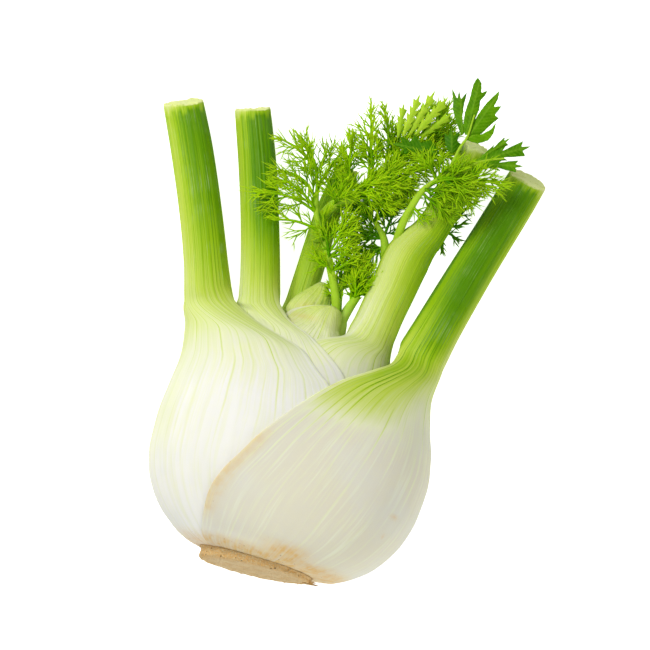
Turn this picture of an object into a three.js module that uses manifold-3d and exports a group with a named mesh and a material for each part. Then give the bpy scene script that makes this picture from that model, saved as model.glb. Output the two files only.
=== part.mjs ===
// A Florence fennel bulb, cut from its root and trimmed, lying on its back.
//
// Millimetres, +Z up. The bulb's own axis runs from the cut root face towards the stalks, close to +Y.
// The origin is on the surface that the bulb lies on, under the middle of its bounding box.
//
// The bulb is made of leaves that grow round each other. Each leaf starts on the root plate as a fleshy
// sheath, wraps round everything inside it, thins to an edge on both sides, and closes at the top into one
// thick stalk, which is cut off. Young leaves stand in the middle, and fronds of fine threads
// grow from the middle and from two of the stalks.
//
// Everything is modelled in the bulb's own frame: x to the right, y along the axis from the root face,
// z to the front. The last section lays the bulb down.

import * as THREE from "three";
import { mergeVertices } from "three/addons/utils/BufferGeometryUtils.js";
import Module from "manifold-3d";

const wasm = await Module();
wasm.setup();

// ---------------------------------------------------------------- driving sizes

const PITCH = 8; // degrees that the stalk tips hang below the level of the root
const ROOT_PLACE = [9.66, -101.64, 42.9]; // the middle of the root face, once the bulb lies down
const GAP = 0.55; // between one sheath and the next, which is FOOT_GAP at their flaring feet
const FOOT_GAP = 1.3;
const EDGE = 0.8; // a sheath's thickness at its free edge
const COLUMN = 18; // degrees between the facets round the nest
const WIDEST = 144; // degrees from a sheath's middle that no edge goes past
const BASE = 2.4; // height of the sheaths' feet, on top of the root plate
const HEIGHTS = [BASE, 3.5, 6.5, 12.5, 21, 34, 48, 62, 74, 83, 90, 94.5, 98.5, 102.5, 106.5]; // of the facets

// Colours and finishes.
const FINISH = {
  sheath: { color: 0xe9ead2, roughness: 0.42 },
  heart: { color: 0xcbd79a, roughness: 0.5 },
  root: { color: 0xcdb27e, roughness: 0.85 },
  frond: { color: 0x6a9a12, roughness: 0.55 },
  frondDark: { color: 0x4a7d0d, roughness: 0.55 },
};

// ---------------------------------------------------------------- small helpers

const rad = THREE.MathUtils.degToRad;
const vec = (x, y, z) => new THREE.Vector3(x, y, z);
const clamp = THREE.MathUtils.clamp;
const mix = THREE.MathUtils.lerp;
const smooth = (a, b, x) => THREE.MathUtils.smoothstep(x, a, b);

// A smooth function through [x, value] knots that never overshoots them, and stays level past both ends.
function curve(knots) {
  const x = knots.map((k) => k[0]);
  const v = knots.map((k) => k[1]);
  const last = x.length - 1;
  const slope = v.slice(1).map((b, i) => (b - v[i]) / (x[i + 1] - x[i]));
  const tangent = x.map((_, i) => {
    if (i === 0) return slope[0];
    if (i === last) return slope[last - 1];
    const [a, b] = [slope[i - 1], slope[i]];
    return a * b <= 0 ? 0 : (2 * a * b) / (a + b);
  });
  return (at) => {
    if (at <= x[0]) return v[0];
    if (at >= x[last]) return v[last];
    let i = 0;
    while (at > x[i + 1]) i += 1;
    const width = x[i + 1] - x[i];
    const t = (at - x[i]) / width;
    const [t2, t3] = [t * t, t * t * t];
    return (
      v[i] * (2 * t3 - 3 * t2 + 1) +
      v[i + 1] * (3 * t2 - 2 * t3) +
      width * (tangent[i] * (t3 - 2 * t2 + t) + tangent[i + 1] * (t3 - t2))
    );
  };
}

// A number from 0 to 1 that depends only on the whole numbers given.
function chance(...ids) {
  const weights = [12.9898, 78.233, 37.719, 9.151];
  const wave = Math.sin(ids.reduce((sum, id, i) => sum + id * weights[i], 4.7)) * 43758.5453;
  return wave - Math.floor(wave);
}

// ---------------------------------------------------------------- solids

// A closed skin over a row of rings of the same number of points. Points that meet become one. Each end is
// closed by a zigzag from side to side, as a ring may be the thin curved section of a sheath.
function skin(rings) {
  const size = rings[0].length;
  const points = rings.flat();
  const faces = [];
  for (let r = 0; r + 1 < rings.length; r += 1) {
    for (let i = 0; i < size; i += 1) {
      const [a, b] = [r * size + i, r * size + ((i + 1) % size)];
      faces.push([a, b, b + size], [a, b + size, a + size]);
    }
  }
  for (const ring of [0, rings.length - 1]) {
    const cap = (a, b, c) => faces.push((ring === 0 ? [c, b, a] : [a, b, c]).map((i) => ring * size + i));
    for (let [low, high] = [0, size - 1]; high - low > 1; high -= 1) {
      cap(low, low + 1, high);
      low += 1;
      if (high - low > 1) cap(low, high - 1, high);
    }
  }
  const solid = toSolid(points, faces);
  if (solid.volume() > 0) return solid;
  return toSolid(points, faces.map(([a, b, c]) => [a, c, b]));
}

function toSolid(points, faces) {
  const merged = mergeVertices(new THREE.BufferGeometry().setFromPoints(points).setIndex(faces.flat()), 1e-4);
  const index = [...merged.index.array];
  const kept = faces.flatMap((_, f) => {
    const [a, b, c] = index.slice(3 * f, 3 * f + 3);
    return a === b || b === c || c === a ? [] : [a, b, c];
  });
  return solidOf(merged.setIndex(kept));
}

function solidOf(geometry) {
  const vertProperties = new Float32Array(geometry.attributes.position.array);
  const triVerts = new Uint32Array(geometry.index.array);
  return new wasm.Manifold(new wasm.Mesh({ numProp: 3, vertProperties, triVerts }));
}

function toGeometry(solid) {
  const mesh = solid.getMesh();
  return new THREE.BufferGeometry()
    .setAttribute("position", new THREE.BufferAttribute(mesh.vertProperties, 3))
    .setIndex(new THREE.BufferAttribute(mesh.triVerts, 1));
}

// A solid with a body cut out of it, and the same body moved a little way along each axis, both ways.
function cutClear(solid, body, by) {
  const mesh = body.getMesh();
  const faces = Array.from({ length: mesh.triVerts.length / 3 }, (_, f) => [
    ...mesh.triVerts.slice(3 * f, 3 * f + 3),
  ]);
  const ways = [vec(by, 0, 0), vec(0, by, 0), vec(0, 0, by)].flatMap((way) => [way, way.clone().negate()]);
  return [vec(0, 0, 0), ...ways].reduce((left, way) => {
    const points = Array.from({ length: mesh.vertProperties.length / 3 }, (_, i) =>
      vec(0, 0, 0).fromArray(mesh.vertProperties, 3 * i).add(way),
    );
    return left.subtract(toSolid(points, faces));
  }, solid);
}

// The largest body of a solid that cutting has left in pieces.
function largest(solid) {
  return solid.decompose().reduce((best, one) => (one.volume() > best.volume() ? one : best));
}

// A polygon swept along points. half gives the half width at each point, and zero ends it in a point.
function sweep(path, half, sides, flat = vec(0.3, 0.1, 1)) {
  const rings = path.map((at, i) => {
    const along = path[Math.min(i + 1, path.length - 1)].clone().sub(path[Math.max(i - 1, 0)]).normalize();
    const across = flat.clone().addScaledVector(along, -flat.dot(along)).normalize();
    const up = vec(0, 0, 0).crossVectors(along, across);
    return Array.from({ length: sides }, (_, s) => {
      const turn = (s / sides) * 2 * Math.PI;
      const out = across.clone().multiplyScalar(Math.cos(turn)).addScaledVector(up, Math.sin(turn));
      return at.clone().addScaledVector(out, half[i]);
    });
  });
  return skin(rings);
}

// A flat outline of [u, v] points given a thickness, with each point [u, v, n] placed in space.
function plate(outline, thick, placed) {
  const shape = new THREE.Shape(outline.map(([u, v]) => new THREE.Vector2(u, v)));
  const at = new THREE.ExtrudeGeometry(shape, { depth: thick, bevelEnabled: false }).attributes.position;
  const points = Array.from({ length: at.count }, (_, i) =>
    placed([at.getX(i), at.getY(i), at.getZ(i) - thick / 2]),
  );
  const faces = Array.from({ length: at.count / 3 }, (_, f) => [3 * f, 3 * f + 1, 3 * f + 2]);
  const solid = toSolid(points, faces);
  return solid.volume() > 0 ? solid : toSolid(points, faces.map(([a, b, c]) => [a, c, b]));
}

// ---------------------------------------------------------------- the nest of sheaths

// Half widths of the innermost leaf about the axis, by height.
const HEART = {
  left: curve([
    [2.4, 9], [7, 15], [15, 20], [30, 26], [45, 29], [60, 29], [75, 27], [85, 24], [92, 20], [98, 16.5],
  ]),
  right: curve([
    [2.4, 9], [7, 15], [15, 19], [30, 25], [45, 27], [60, 26], [75, 22], [85, 15.5], [92, 9.6], [98, 4],
  ]),
  front: curve([
    [2.4, 8], [7, 14], [15, 19], [30, 24.5], [45, 26], [60, 24.5], [75, 20], [85, 14.5], [92, 10], [98, 6.5],
  ]),
  back: curve([
    [2.4, 8], [7, 13], [15, 17], [30, 21], [45, 22], [60, 20], [75, 15], [85, 10], [92, 6.5], [98, 4],
  ]),
};

// The leaves round it, from the inside out. side is the middle of the sheath as an angle about the axis
// (0 right, 90 front, 180 left). reach is how far round from there its front edge lies at each height, and
// its back edge lies at that times back. outline is the half width that the leaf gives the bulb at
// its middle, or thick its own thickness there. The sheath ends at the height neck. stalk lists
// [x, y, z, half width] from there up, depth is its thickness as a share of its width, and cut is the
// slant of the knife's cut in degrees.
const LEAVES = [
  {
    name: "heart_leaf_front",
    finish: FINISH.heart,
    hidden: true,
    side: 90,
    back: 1,
    reach: curve([
      [2.4, 125], [40, 122], [70, 116], [85, 106], [92, 95], [98, 84], [101.5, 74], [104.5, 52], [106, 25],
      [106.5, 10],
    ]),
    thick: curve([[2.4, 1.2], [20, 2.4], [80, 3], [98, 2.8], [106.5, 1.2]]),
    neck: 106.5,
  },
  {
    name: "leaf_back",
    finish: FINISH.sheath,
    hidden: true,
    side: 216,
    back: 1,
    reach: curve([[2.4, 135], [40, 125], [70, 110], [84, 92], [92, 68], [97, 44], [101, 28], [103.5, 20]]),
    thick: curve([[2.4, 1.6], [20, 3.2], [60, 5], [80, 7.5], [92, 11], [98, 14.5], [103.5, 16]]),
    neck: 103.5,
    depth: 0.95,
    stalk: [
      [-12.8, 103.5, -12.5, 5.7], [-12.6, 120, -13.5, 5.5], [-12.4, 142, -13, 5.2], [-10, 163, -12.5, 4.6],
    ],
    cut: 12,
  },
  {
    name: "leaf_right_inner",
    finish: FINISH.sheath,
    hidden: true,
    side: 0,
    back: 0.97,
    reach: curve([
      [2.4, 138], [50, 130], [70, 124], [84, 117], [90, 103], [94, 84], [96.5, 62], [99, 44], [101, 30],
    ]),
    outline: curve([
      [2.4, 15], [8, 30], [15, 37], [25, 42], [40, 45], [60, 43.5], [75, 37], [85, 31.5], [93, 28], [101, 27],
    ]),
    neck: 101,
    depth: 0.9,
    stalk: [
      [17.9, 101, 3, 9.3], [19.1, 110.6, 3.4, 9], [20.7, 121, 3.8, 9.1], [22.2, 132.5, 4, 9.5],
      [24.2, 138.5, 3.8, 8.6], [27.4, 145, 3.4, 7.1], [29.8, 152, 3, 6.5], [32.8, 166.5, 1.6, 6.3],
      [36.1, 184.3, -1, 6.1],
    ],
    cut: 28,
  },
  {
    name: "leaf_left_inner",
    finish: FINISH.sheath,
    hidden: true,
    side: 180,
    back: 0.97,
    reach: curve([
      [2.4, 138], [40, 130], [65, 124], [79, 112], [86, 96], [91.5, 74], [96, 42], [100, 24], [102, 16],
    ]),
    outline: curve([
      [2.4, 17], [8, 33], [15, 39], [25, 43], [40, 45], [60, 44], [75, 41], [85, 38.6], [93, 36.9], [102, 36.5],
    ]),
    neck: 102,
    depth: 0.92,
    stalk: [
      [-28, 102, -1.5, 8.5], [-30.5, 111.4, -2, 8], [-36.7, 132, -3.9, 7.7], [-43.6, 152.3, -6, 7.6],
      [-52.2, 174.7, -8.6, 7.2],
    ],
    cut: 17,
  },
  {
    name: "leaf_left_outer",
    finish: FINISH.sheath,
    side: 180,
    back: 0.96,
    reach: curve([
      [2.4, 140], [20, 128], [35, 121], [52, 118], [62, 112], [72.8, 103], [76.5, 95], [85, 74], [90.2, 46],
      [93.2, 28], [95.5, 14],
    ]),
    outline: curve([
      [2.4, 24.3], [3, 27], [4, 29.8], [6, 33.8], [8, 36.6], [12, 41.5], [18, 46.5], [26, 50.7], [36, 53.1],
      [48, 53.6], [60, 52.7], [72, 51.6], [84, 53.3], [92, 55.6], [95.5, 56.8],
    ]),
    neck: 95.5,
    depth: 0.92,
    stalk: [
      [-46.9, 95.5, -0.2, 9.9], [-52.9, 111.4, -1.4, 8.8], [-61.3, 131.8, -4.2, 8.5], [-70.7, 152.6, -8, 8.4],
      [-79.3, 169.8, -11.8, 8.1],
    ],
    cut: 26,
  },
  {
    name: "leaf_right_outer",
    finish: FINISH.sheath,
    side: 0,
    back: 0.92,
    reach: curve([
      [2.4, 140], [13.4, 130], [20.8, 126], [29.7, 120], [37.2, 114], [46.6, 107], [56.3, 98], [67.3, 85],
      [76.7, 69], [85.1, 46], [92.5, 24], [97, 14],
    ]),
    outline: curve([
      [2.4, 24.3], [3, 30.8], [4, 33.2], [6, 36.9], [8, 39.8], [12, 44.5], [18, 49.1], [26, 53.1], [36, 55.5],
      [48, 56.2], [60, 54.3], [72, 50.4], [84, 47.9], [92, 48.3], [97, 48.9],
    ]),
    neck: 97,
    depth: 0.92,
    stalk: [
      [38.5, 97, 0.5, 10.3], [41.7, 111.1, -0.4, 9.4], [46.8, 131.6, -2.7, 8.9], [52.2, 152.2, -5.7, 8.5],
      [56.3, 167.7, -8.2, 8.4], [59.4, 179.7, -10.3, 8.1],
    ],
    cut: 30,
  },
];

const turnBetween = (a, b) => ((((a - b + 180) % 360) + 360) % 360) - 180;

// Which way round the axis a sheath's front edge lies from its middle.
const frontward = (leaf) => (leaf.side > 90 ? -1 : 1);

function reachOf(leaf, turn, y) {
  return leaf.reach(y) * (turn < 0 ? leaf.back : 1);
}

function heartRadius(angle, y) {
  const [c, s] = [Math.cos(rad(angle)), Math.sin(rad(angle))];
  const across = (c > 0 ? HEART.right : HEART.left)(y);
  const deep = (s > 0 ? HEART.front : HEART.back)(y);
  return 1 / Math.hypot(c / across, s / deep);
}

const gapAt = (y) => mix(FOOT_GAP, GAP, smooth(BASE, 9, y));

// The radius of the nest at an angle and height, once that many leaves have been laid round the heart.
function nestRadius(count, angle, y) {
  let r = heartRadius(angle, y);
  for (let i = 0; i < count; i += 1) r += gapAt(y) + thickness(i, angle, y);
  return r;
}

// A sheath is thickest at its middle and thins to its edges, as a power of a cosine that falls towards the
// neck, over these heights below it.
const PLUMP = { low: 2, high: 0.9, from: 30, to: 3 };

function thickness(i, angle, y) {
  const leaf = LEAVES[i];
  const turn = turnBetween(angle, leaf.side) * frontward(leaf);
  const share = Math.min(Math.abs(turn) / reachOf(leaf, turn, y), 1);
  const rise = leaf.stalk ? smooth(leaf.neck - PLUMP.from, leaf.neck - PLUMP.to, y) : 0;
  const plump = mix(PLUMP.low, PLUMP.high, rise);
  const bulge = Math.cos((Math.PI / 2) * share) ** plump;
  const full = leaf.thick ? leaf.thick(y) : leaf.outline(y) - nestRadius(i, leaf.side, y) - gapAt(y);
  return EDGE + Math.max(0, full - EDGE) * bulge;
}

// ---------------------------------------------------------------- one leaf

const OUTER_END = 130; // where a stalk's round outer face ends, in degrees from its middle
const INNER_END = 142; // and where its flatter, channelled inner face begins
const CHANNEL = 0.05; // depth of the channel, as a share of the stalk's half width
const CLOSING = [12, 5]; // how far below and above the neck the sheath closes into the stalk
const PAIRING = [14, 4]; // how far below the neck its columns leave the nest's facets and pair up

// A stalk's centre line, half width and direction at a height.
function stalkAt(leaf, y) {
  const [x, z, half] = [0, 2, 3].map((k) => curve(leaf.stalk.map((p) => [p[1], p[k]])));
  const at = clamp(y, leaf.stalk[0][1] + 1, leaf.stalk.at(-1)[1] - 1);
  const along = vec(x(at + 1) - x(at - 1), 2, z(at + 1) - z(at - 1)).normalize();
  return { centre: vec(x(y), y, z(y)), half: half(y), along };
}

// A point of the stalk's skin. turn is the angle about the stalk from its outer middle to its front.
function stalkPoint(leaf, y, turn, slant) {
  const { centre, half, along } = stalkAt(leaf, y);
  const across = vec(Math.cos(rad(leaf.side)), 0, Math.sin(rad(leaf.side)));
  across.addScaledVector(along, -across.dot(along)).normalize();
  const front = vec(0, 0, 0).crossVectors(across, along).multiplyScalar(frontward(leaf));
  const radius = half * (1 - CHANNEL * smooth(OUTER_END, 180, Math.abs(turn)));
  const [c, s] = [Math.cos(rad(turn)), Math.sin(rad(turn))];
  return centre
    .addScaledVector(across, radius * c)
    .addScaledVector(front, radius * leaf.depth * s)
    .addScaledVector(along, -slant * radius * s);
}

// A point on a sheath's outer or inner face. share runs from -1 at its back edge to 1 at its front edge.
function sheathPoint(i, y, share, inside) {
  const leaf = LEAVES[i];
  const angle = leaf.side + frontward(leaf) * share * reachOf(leaf, share, y);
  const r = nestRadius(i, angle, y) + gapAt(y) + (inside ? 0 : thickness(i, angle, y));
  return vec(r * Math.cos(rad(angle)), y, r * Math.sin(rad(angle)));
}

// A point on a leaf's outer or inner face at a height. Up to the neck it is on the sheath, and from there
// on it is on the stalk. Between them it stays outside the leaves that the sheath wraps.
function leafPoint(i, y, share, inside, slant) {
  const leaf = LEAVES[i];
  const closing = leaf.stalk ? smooth(leaf.neck - CLOSING[0], leaf.neck + CLOSING[1], y) : 0;
  const inner = (Math.sign(share) || 1) * mix(180, INNER_END, Math.abs(share));
  if (closing === 1) return stalkPoint(leaf, y, inside ? inner : share * OUTER_END, slant);
  const low = sheathPoint(i, Math.min(y, leaf.neck), share, inside);
  low.y = y;
  if (closing === 0) return low;
  const point = low.lerp(stalkPoint(leaf, y, inside ? inner : share * OUTER_END, slant), closing);
  const angle = THREE.MathUtils.radToDeg(Math.atan2(point.z, point.x));
  const least = nestRadius(i, angle, Math.min(y, leaf.neck)) + gapAt(y) + (inside ? 0 : EDGE);
  const out = Math.max(1, least / Math.hypot(point.x, point.z));
  return vec(point.x * out, point.y, point.z * out);
}

// The ring of points round one leaf at a height: its outer face, then its inner face. Its columns keep to
// the facets of the nest where they can, and gather at the sheath's edges. On the stalk they pair up.
function leafRing(i, y, slant) {
  const leaf = LEAVES[i];
  const most = WIDEST / COLUMN;
  const pairing = leaf.stalk ? smooth(leaf.neck - PAIRING[0], leaf.neck - PAIRING[1], y) : 0;
  const ring = [];
  for (const hand of [1, -1]) {
    for (let k = most; k >= -most; k -= 1) {
      const turn = hand * k * COLUMN;
      const onNest = clamp(turn / reachOf(leaf, turn, y), -1, 1);
      const paired = (Math.sign(turn) * Math.floor((Math.abs(k) + 1) / 2)) / (most / 2);
      ring.push(leafPoint(i, y, mix(onNest, paired, pairing), hand < 0, slant));
    }
  }
  return ring;
}

// Every other height, up to where the leaves outside hide the leaf.
const HIDDEN_BELOW = 66;
const sparse = (heights) => heights.filter((y, k) => k % 2 === 0 || y > HIDDEN_BELOW);

function leafSolid(i) {
  const leaf = LEAVES[i];
  const heights = (leaf.hidden ? sparse(HEIGHTS) : HEIGHTS).filter((y) => y < leaf.neck - 1);
  heights.push(leaf.neck);
  if (!leaf.stalk) return skin(heights.map((y) => leafRing(i, y, 0)));
  heights.push(leaf.neck + CLOSING[1], ...leaf.stalk.slice(1, -1).map((p) => p[1]));
  const end = leafRing(i, leaf.stalk.at(-1)[1], Math.tan(rad(leaf.cut)));
  return skin([...heights.map((y) => leafRing(i, y, 0)), end]);
}

// ---------------------------------------------------------------- the innermost leaf and the root plate

// The folded leaf in the middle fills the nest, and above it stands as a hood that leans to the left.
const HOOD = {
  left: curve([[98, 16.4], [102, 17.2], [107, 15.2], [111, 11.8], [114, 9], [115.6, 7.4]]),
  right: curve([[98, 3.6], [101, -1.2], [107, -0.6], [109, -0.8], [113, -2.8], [115.6, -5]]),
  front: curve([[98, 6.2], [104, 5.2], [110, 3.6], [113.6, 2.4], [115.6, 0.5]]),
  back: curve([[98, 4], [104, 3.4], [110, 2.6], [113.6, 1.8], [115.6, 0.5]]),
};
const HOOD_HEIGHTS = [101, 104.5, 108, 111.5, 114, 115.6];

function hoodSolid() {
  const angles = Array.from({ length: 360 / COLUMN }, (_, k) => rad(k * COLUMN));
  const rings = sparse(HEIGHTS).filter((y) => y < HOOD_HEIGHTS[0] - 1).map((y) =>
    angles.map((a) => {
      const r = heartRadius((a * 180) / Math.PI, y);
      return vec(r * Math.cos(a), y, r * Math.sin(a));
    }),
  );
  for (const y of HOOD_HEIGHTS) {
    const [left, right] = [HOOD.left(y), HOOD.right(y)];
    const deep = (s) => (s > 0 ? HOOD.front(y) : HOOD.back(y));
    rings.push(
      angles.map((a) =>
        vec((right - left) / 2 + ((right + left) / 2) * Math.cos(a), y, deep(Math.sin(a)) * Math.sin(a)),
      ),
    );
  }
  return skin(rings);
}

// The root plate is a thin disc of cut root with a crusty rim and one torn scrap on its right. Its face is
// cut a little askew.
const PLATE = { sides: 28, radius: 21.9, squash: 0.93, rough: 0.5, face: -1, skew: [0.06, 0.024], top: 1.95 };
const PLATE_RINGS = [[0, 0], [0, 0.96], [0.25, 1], [0.7, 0.99], [1, 0.93], [1, 0]]; // of height, of radius
const SCRAP = { from: [18, 0.9, -3], to: [25, 1.4, -2], half: [0.7, 0.5, 0] };

function plateSolid() {
  const rings = PLATE_RINGS.map(([up, share], ring) =>
    Array.from({ length: PLATE.sides }, (_, k) => {
      const turn = (k / PLATE.sides) * 2 * Math.PI;
      const r = share * (PLATE.radius + (chance(k, ring, 3) - 0.5) * 2 * PLATE.rough);
      const [x, z] = [r * Math.cos(turn), r * Math.sin(turn) * PLATE.squash];
      return vec(x, mix(PLATE.face + PLATE.skew[0] * x + PLATE.skew[1] * z, PLATE.top, up), z);
    }),
  );
  const [from, to] = [vec(...SCRAP.from), vec(...SCRAP.to)];
  const scrap = sweep([from, from.clone().lerp(to, 0.55), to], SCRAP.half, 4, vec(0, 1, 0));
  return wasm.Manifold.union([skin(rings), scrap]);
}

// ---------------------------------------------------------------- fronds

// The broad leaflets at the top of the forked frond: the outline of each as points seen from the front, its
// depth, and how far it leans away.
const BLADE = 0.8; // thickness of a leaflet
const LEAFLETS = [
  {
    depth: 11, lean: -0.1,
    outline: [
      [31, 184.6], [29.2, 188], [28.4, 193.4], [28.6, 199.8], [28.4, 205.5], [29.3, 208.4], [31.4, 206.6],
      [32.4, 203], [34.4, 204.6], [34, 202.2], [32.9, 199.8], [33.4, 196], [32.8, 191], [32.2, 186],
    ],
  },
  {
    depth: 10.4, lean: -0.16,
    outline: [
      [29.6, 184.2], [26.4, 188.5], [23.6, 193.4], [22.6, 197], [20.9, 201.6], [23.9, 198.2], [23.8, 201.4],
      [25.4, 198.4], [26.9, 201.8], [27.2, 196.3], [28, 191.2], [30.4, 185.6],
    ],
  },
  {
    depth: 10.2, lean: -0.05,
    outline: [
      [31.8, 184.6], [32.9, 191.8], [34.2, 196.2], [35.6, 199.8], [38.8, 205.6], [39.3, 202.4], [38.7, 199],
      [41.4, 200], [40, 196], [41.7, 195.2], [40, 192.6], [38.6, 190.2], [37.1, 187.4], [34.4, 184.8],
    ],
  },
  {
    depth: 10.6, lean: 0.02,
    outline: [
      [31.8, 183], [33.6, 185.4], [37, 186.8], [40, 189.8], [41.2, 192.8], [41.4, 188.6], [40.2, 185.4], [36.6, 183],
    ],
  },
  {
    depth: 6, lean: 0,
    outline: [
      [38.6, 178.6], [41.6, 182.4], [45, 186.4], [50.3, 189], [56, 189.4], [52.6, 186], [49, 183.4], [45.4, 182.8],
      [41.6, 179],
    ],
  },
  {
    depth: 6.6, lean: 0,
    outline: [
      [38, 176], [41.4, 179.4], [46, 181.8], [50.3, 182.6], [56.6, 181.8], [53, 180], [48.6, 177], [43, 175.4],
    ],
  },
];
function leafletSolid({ depth, lean, outline }) {
  return plate(outline, BLADE, ([x, y, n]) => vec(x, y, depth + n + lean * (y - outline[0][1])));
}

// Each frond has stems, swept along points from one half width to another, and flat sprays of threads.
// A spray has the points at its foot, on the way and at its tip, how far its plane is turned about its rib
// in degrees, how many pinnules it bears and how long the longest is.
const STEM_SIDES = 5;
const stem = (half, path) => ({ half, path });
const spray = (foot, way, tip, roll, count, size) => ({ foot, way, tip, roll, count, size });
const FRONDS = [
  {
    name: "frond_left",
    finish: FINISH.frond,
    grows: [],
    stems: [
      stem([1.8, 1], [
        [1.5, 101.6, 3], [1.2, 107.4, 3.4], [-0.8, 112.8, 4], [-5.9, 122.6, 4.8], [-10.4, 130.4, 4.4],
        [-14.6, 137, 3], [-16.8, 141.5, 2], [-18.9, 149, 0.6],
      ]),
    ],
    sprays: [
      spray([-18.9, 148.5, 0.6], [-17.6, 157, 0.6], [-13.2, 169, -1], -20, 5, 8),
      spray([-18.7, 147.5, 0.8], [-22, 158, 3], [-31, 168, 4.5], 15, 6, 10),
      spray([-18, 145, 1.2], [-27, 152.4, 4], [-37, 151.5, 6.4], -15, 6, 9.5),
      spray([-16.6, 140.9, 2.2], [-27, 143.5, 5.4], [-41, 141, 7.5], 20, 6, 9),
      spray([-12.4, 133.6, 3.8], [-22, 135, 5.6], [-32, 132.6, 6.8], -10, 5, 8),
      spray([-21.4, 157, 2.8], [-30, 162.4, 5], [-40, 164.6, 6], 30, 4, 7),
      spray([-10.4, 130.4, 4.4], [-7.6, 135.4, 6.6], [-2.4, 141, 8.4], 10, 4, 8),
      spray([-5.4, 121.7, 4.8], [-9, 122.4, 6.4], [-13.6, 126.4, 7.8], -20, 3, 6),
      spray([-7.3, 125, 4.7], [-3.6, 129.2, 6.4], [0.4, 134, 7.4], 20, 4, 7),
    ],
  },
  {
    name: "frond_crown",
    finish: FINISH.frond,
    grows: [1],
    stems: [
      stem([2.6, 1], [
        [-13.8, 133, -9], [-14.4, 139, -3.4], [-10.4, 146.6, 1], [-4.8, 151, 2], [-0.6, 158.4, 1.4],
        [4, 165.4, 0.4], [9.6, 173.1, -0.4], [16, 180, -1.5],
      ]),
    ],
    sprays: [
      spray([15.6, 179.6, -1.4], [18.5, 187, -2], [20, 197.6, -3], 10, 5, 8),
      spray([11.8, 175.6, -0.8], [12.6, 184, 0.4], [13.4, 194, 0.6], -25, 5, 8),
      spray([4, 165.4, 0.4], [3.6, 176, 2], [-1, 189, 3], 15, 6, 9),
      spray([-0.6, 158.4, 1.4], [-4.6, 172, 4], [-11, 186, 5.4], -15, 6, 9),
      spray([-4.8, 151, 2], [-9.4, 162, 5], [-11.4, 175, 6.6], 20, 6, 8),
      spray([9.6, 173.1, -0.4], [18, 176.4, 3], [28, 178, 5], -10, 5, 8),
      spray([15.6, 179.6, -1.4], [20.6, 182, 0], [26.4, 186, 2], 25, 4, 6.5),
      spray([4, 165.4, 0.4], [11, 167, 3], [20, 170, 5], 20, 5, 9),
      spray([-0.6, 158.4, 1.4], [7, 161, 4], [18, 159.5, 5], -25, 6, 9),
      spray([-4.8, 151, 2], [3, 152.5, 5], [13, 153.6, 6], 10, 5, 8),
      spray([-10.4, 146.6, 1], [-12.4, 153, 3], [-14, 161, 4], -10, 4, 6),
      spray([4, 165.4, 0.4], [7, 174, -2], [5.4, 182, -3], -30, 5, 8),
    ],
  },
  {
    name: "frond_fork",
    finish: FINISH.frond,
    grows: [2],
    stems: [
      stem([1.8, 1.1], [
        [17, 135, 4], [16.9, 144.8, 7.6], [18.6, 153.5, 9.6], [21, 160.5, 11], [25.2, 166, 11.8],
      ]),
      stem([1.1, 0.4], [
        [25.2, 166, 11.8], [28.4, 172, 11.6], [30, 180.4, 11.4], [31.6, 186, 11.2], [31.8, 195, 10.9],
      ]),
      stem([0.9, 0.4], [
        [27.8, 171, 11.6], [33.4, 171.4, 11.6], [37, 176, 8.4], [41, 179.4, 6.6], [48, 182.6, 6.2],
      ]),
    ],
    leaflets: LEAFLETS,
    sprays: [
      spray([25.2, 166, 11.8], [36, 169.5, 12.4], [49, 172.4, 9.6], 10, 6, 9),
      spray([24.6, 165.2, 11.7], [28.4, 172, 12.4], [33, 177, 11.8], -15, 4, 7),
      spray([21, 160.5, 11], [30, 163, 12.5], [42.6, 164.4, 11], -10, 6, 8),
      spray([20.6, 159.4, 10.8], [27, 156, 12.6], [34.4, 152.4, 11.4], 10, 4, 7),
      spray([18.6, 153.5, 9.6], [21.5, 151.4, 11], [26, 149.4, 11.6], -10, 3, 5),
      spray([24.6, 165.2, 11.7], [20, 170.4, 12.4], [14.6, 172.4, 12], 10, 4, 7),
    ],
  },
  {
    name: "frond_dark",
    finish: FINISH.frondDark,
    grows: [2],
    stems: [stem([1.9, 0.9], [[14.4, 133, -2.6], [11.6, 140, -4], [6.6, 145.4, -5]])],
    sprays: [
      spray([6.6, 145.4, -5], [0, 147.5, -5], [-7, 151, -4.6], -10, 5, 7.5),
      spray([11.6, 140, -4], [4.5, 140.4, -5.6], [-4.4, 139.5, -6.4], 15, 5, 8),
      spray([11.6, 140, -4], [12.5, 150, -6.4], [15.4, 161.6, -8], -15, 6, 8),
      spray([6.6, 145.4, -5], [6.6, 155, -7.6], [8, 165.4, -8.6], 15, 5, 8),
      spray([12.9, 136.7, -3.3], [9.4, 134.8, -5], [5, 132.4, -6], -10, 4, 6),
    ],
  },
  {
    name: "frond_behind",
    finish: FINISH.frondDark,
    grows: [2],
    stems: [stem([1.2, 0.7], [[28, 147, -5], [33, 150, -9.4], [38, 158, -9.4]])],
    sprays: [
      spray([33, 150, -9.4], [36, 150.2, -9.8], [40, 148.2, -9], 10, 3, 5),
      spray([37.6, 157.4, -9.4], [39.4, 161.4, -9.4], [42.6, 165.4, -9], -15, 4, 5),
      spray([35, 153.2, -9.4], [37.4, 153.6, -9.6], [40.4, 156, -9], 20, 3, 4),
      spray([31.4, 149, -8], [34, 146.4, -8.8], [35.2, 142, -8.6], -10, 3, 4),
    ],
  },
  {
    name: "frond_heart",
    finish: FINISH.frond,
    grows: [],
    stems: [
      stem([1.6, 1.2], [
        [5.3, 98.9, -1.2], [5.1, 101.5, -1], [4.9, 104, -0.4], [6.8, 110, 1], [8.4, 114.4, 1.8],
      ]),
      stem([1.4, 0.8], [[4.9, 99.6, -1.2], [3.2, 105, -0.8], [1.6, 113, -0.6], [1, 121, 0.4]]),
    ],
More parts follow.
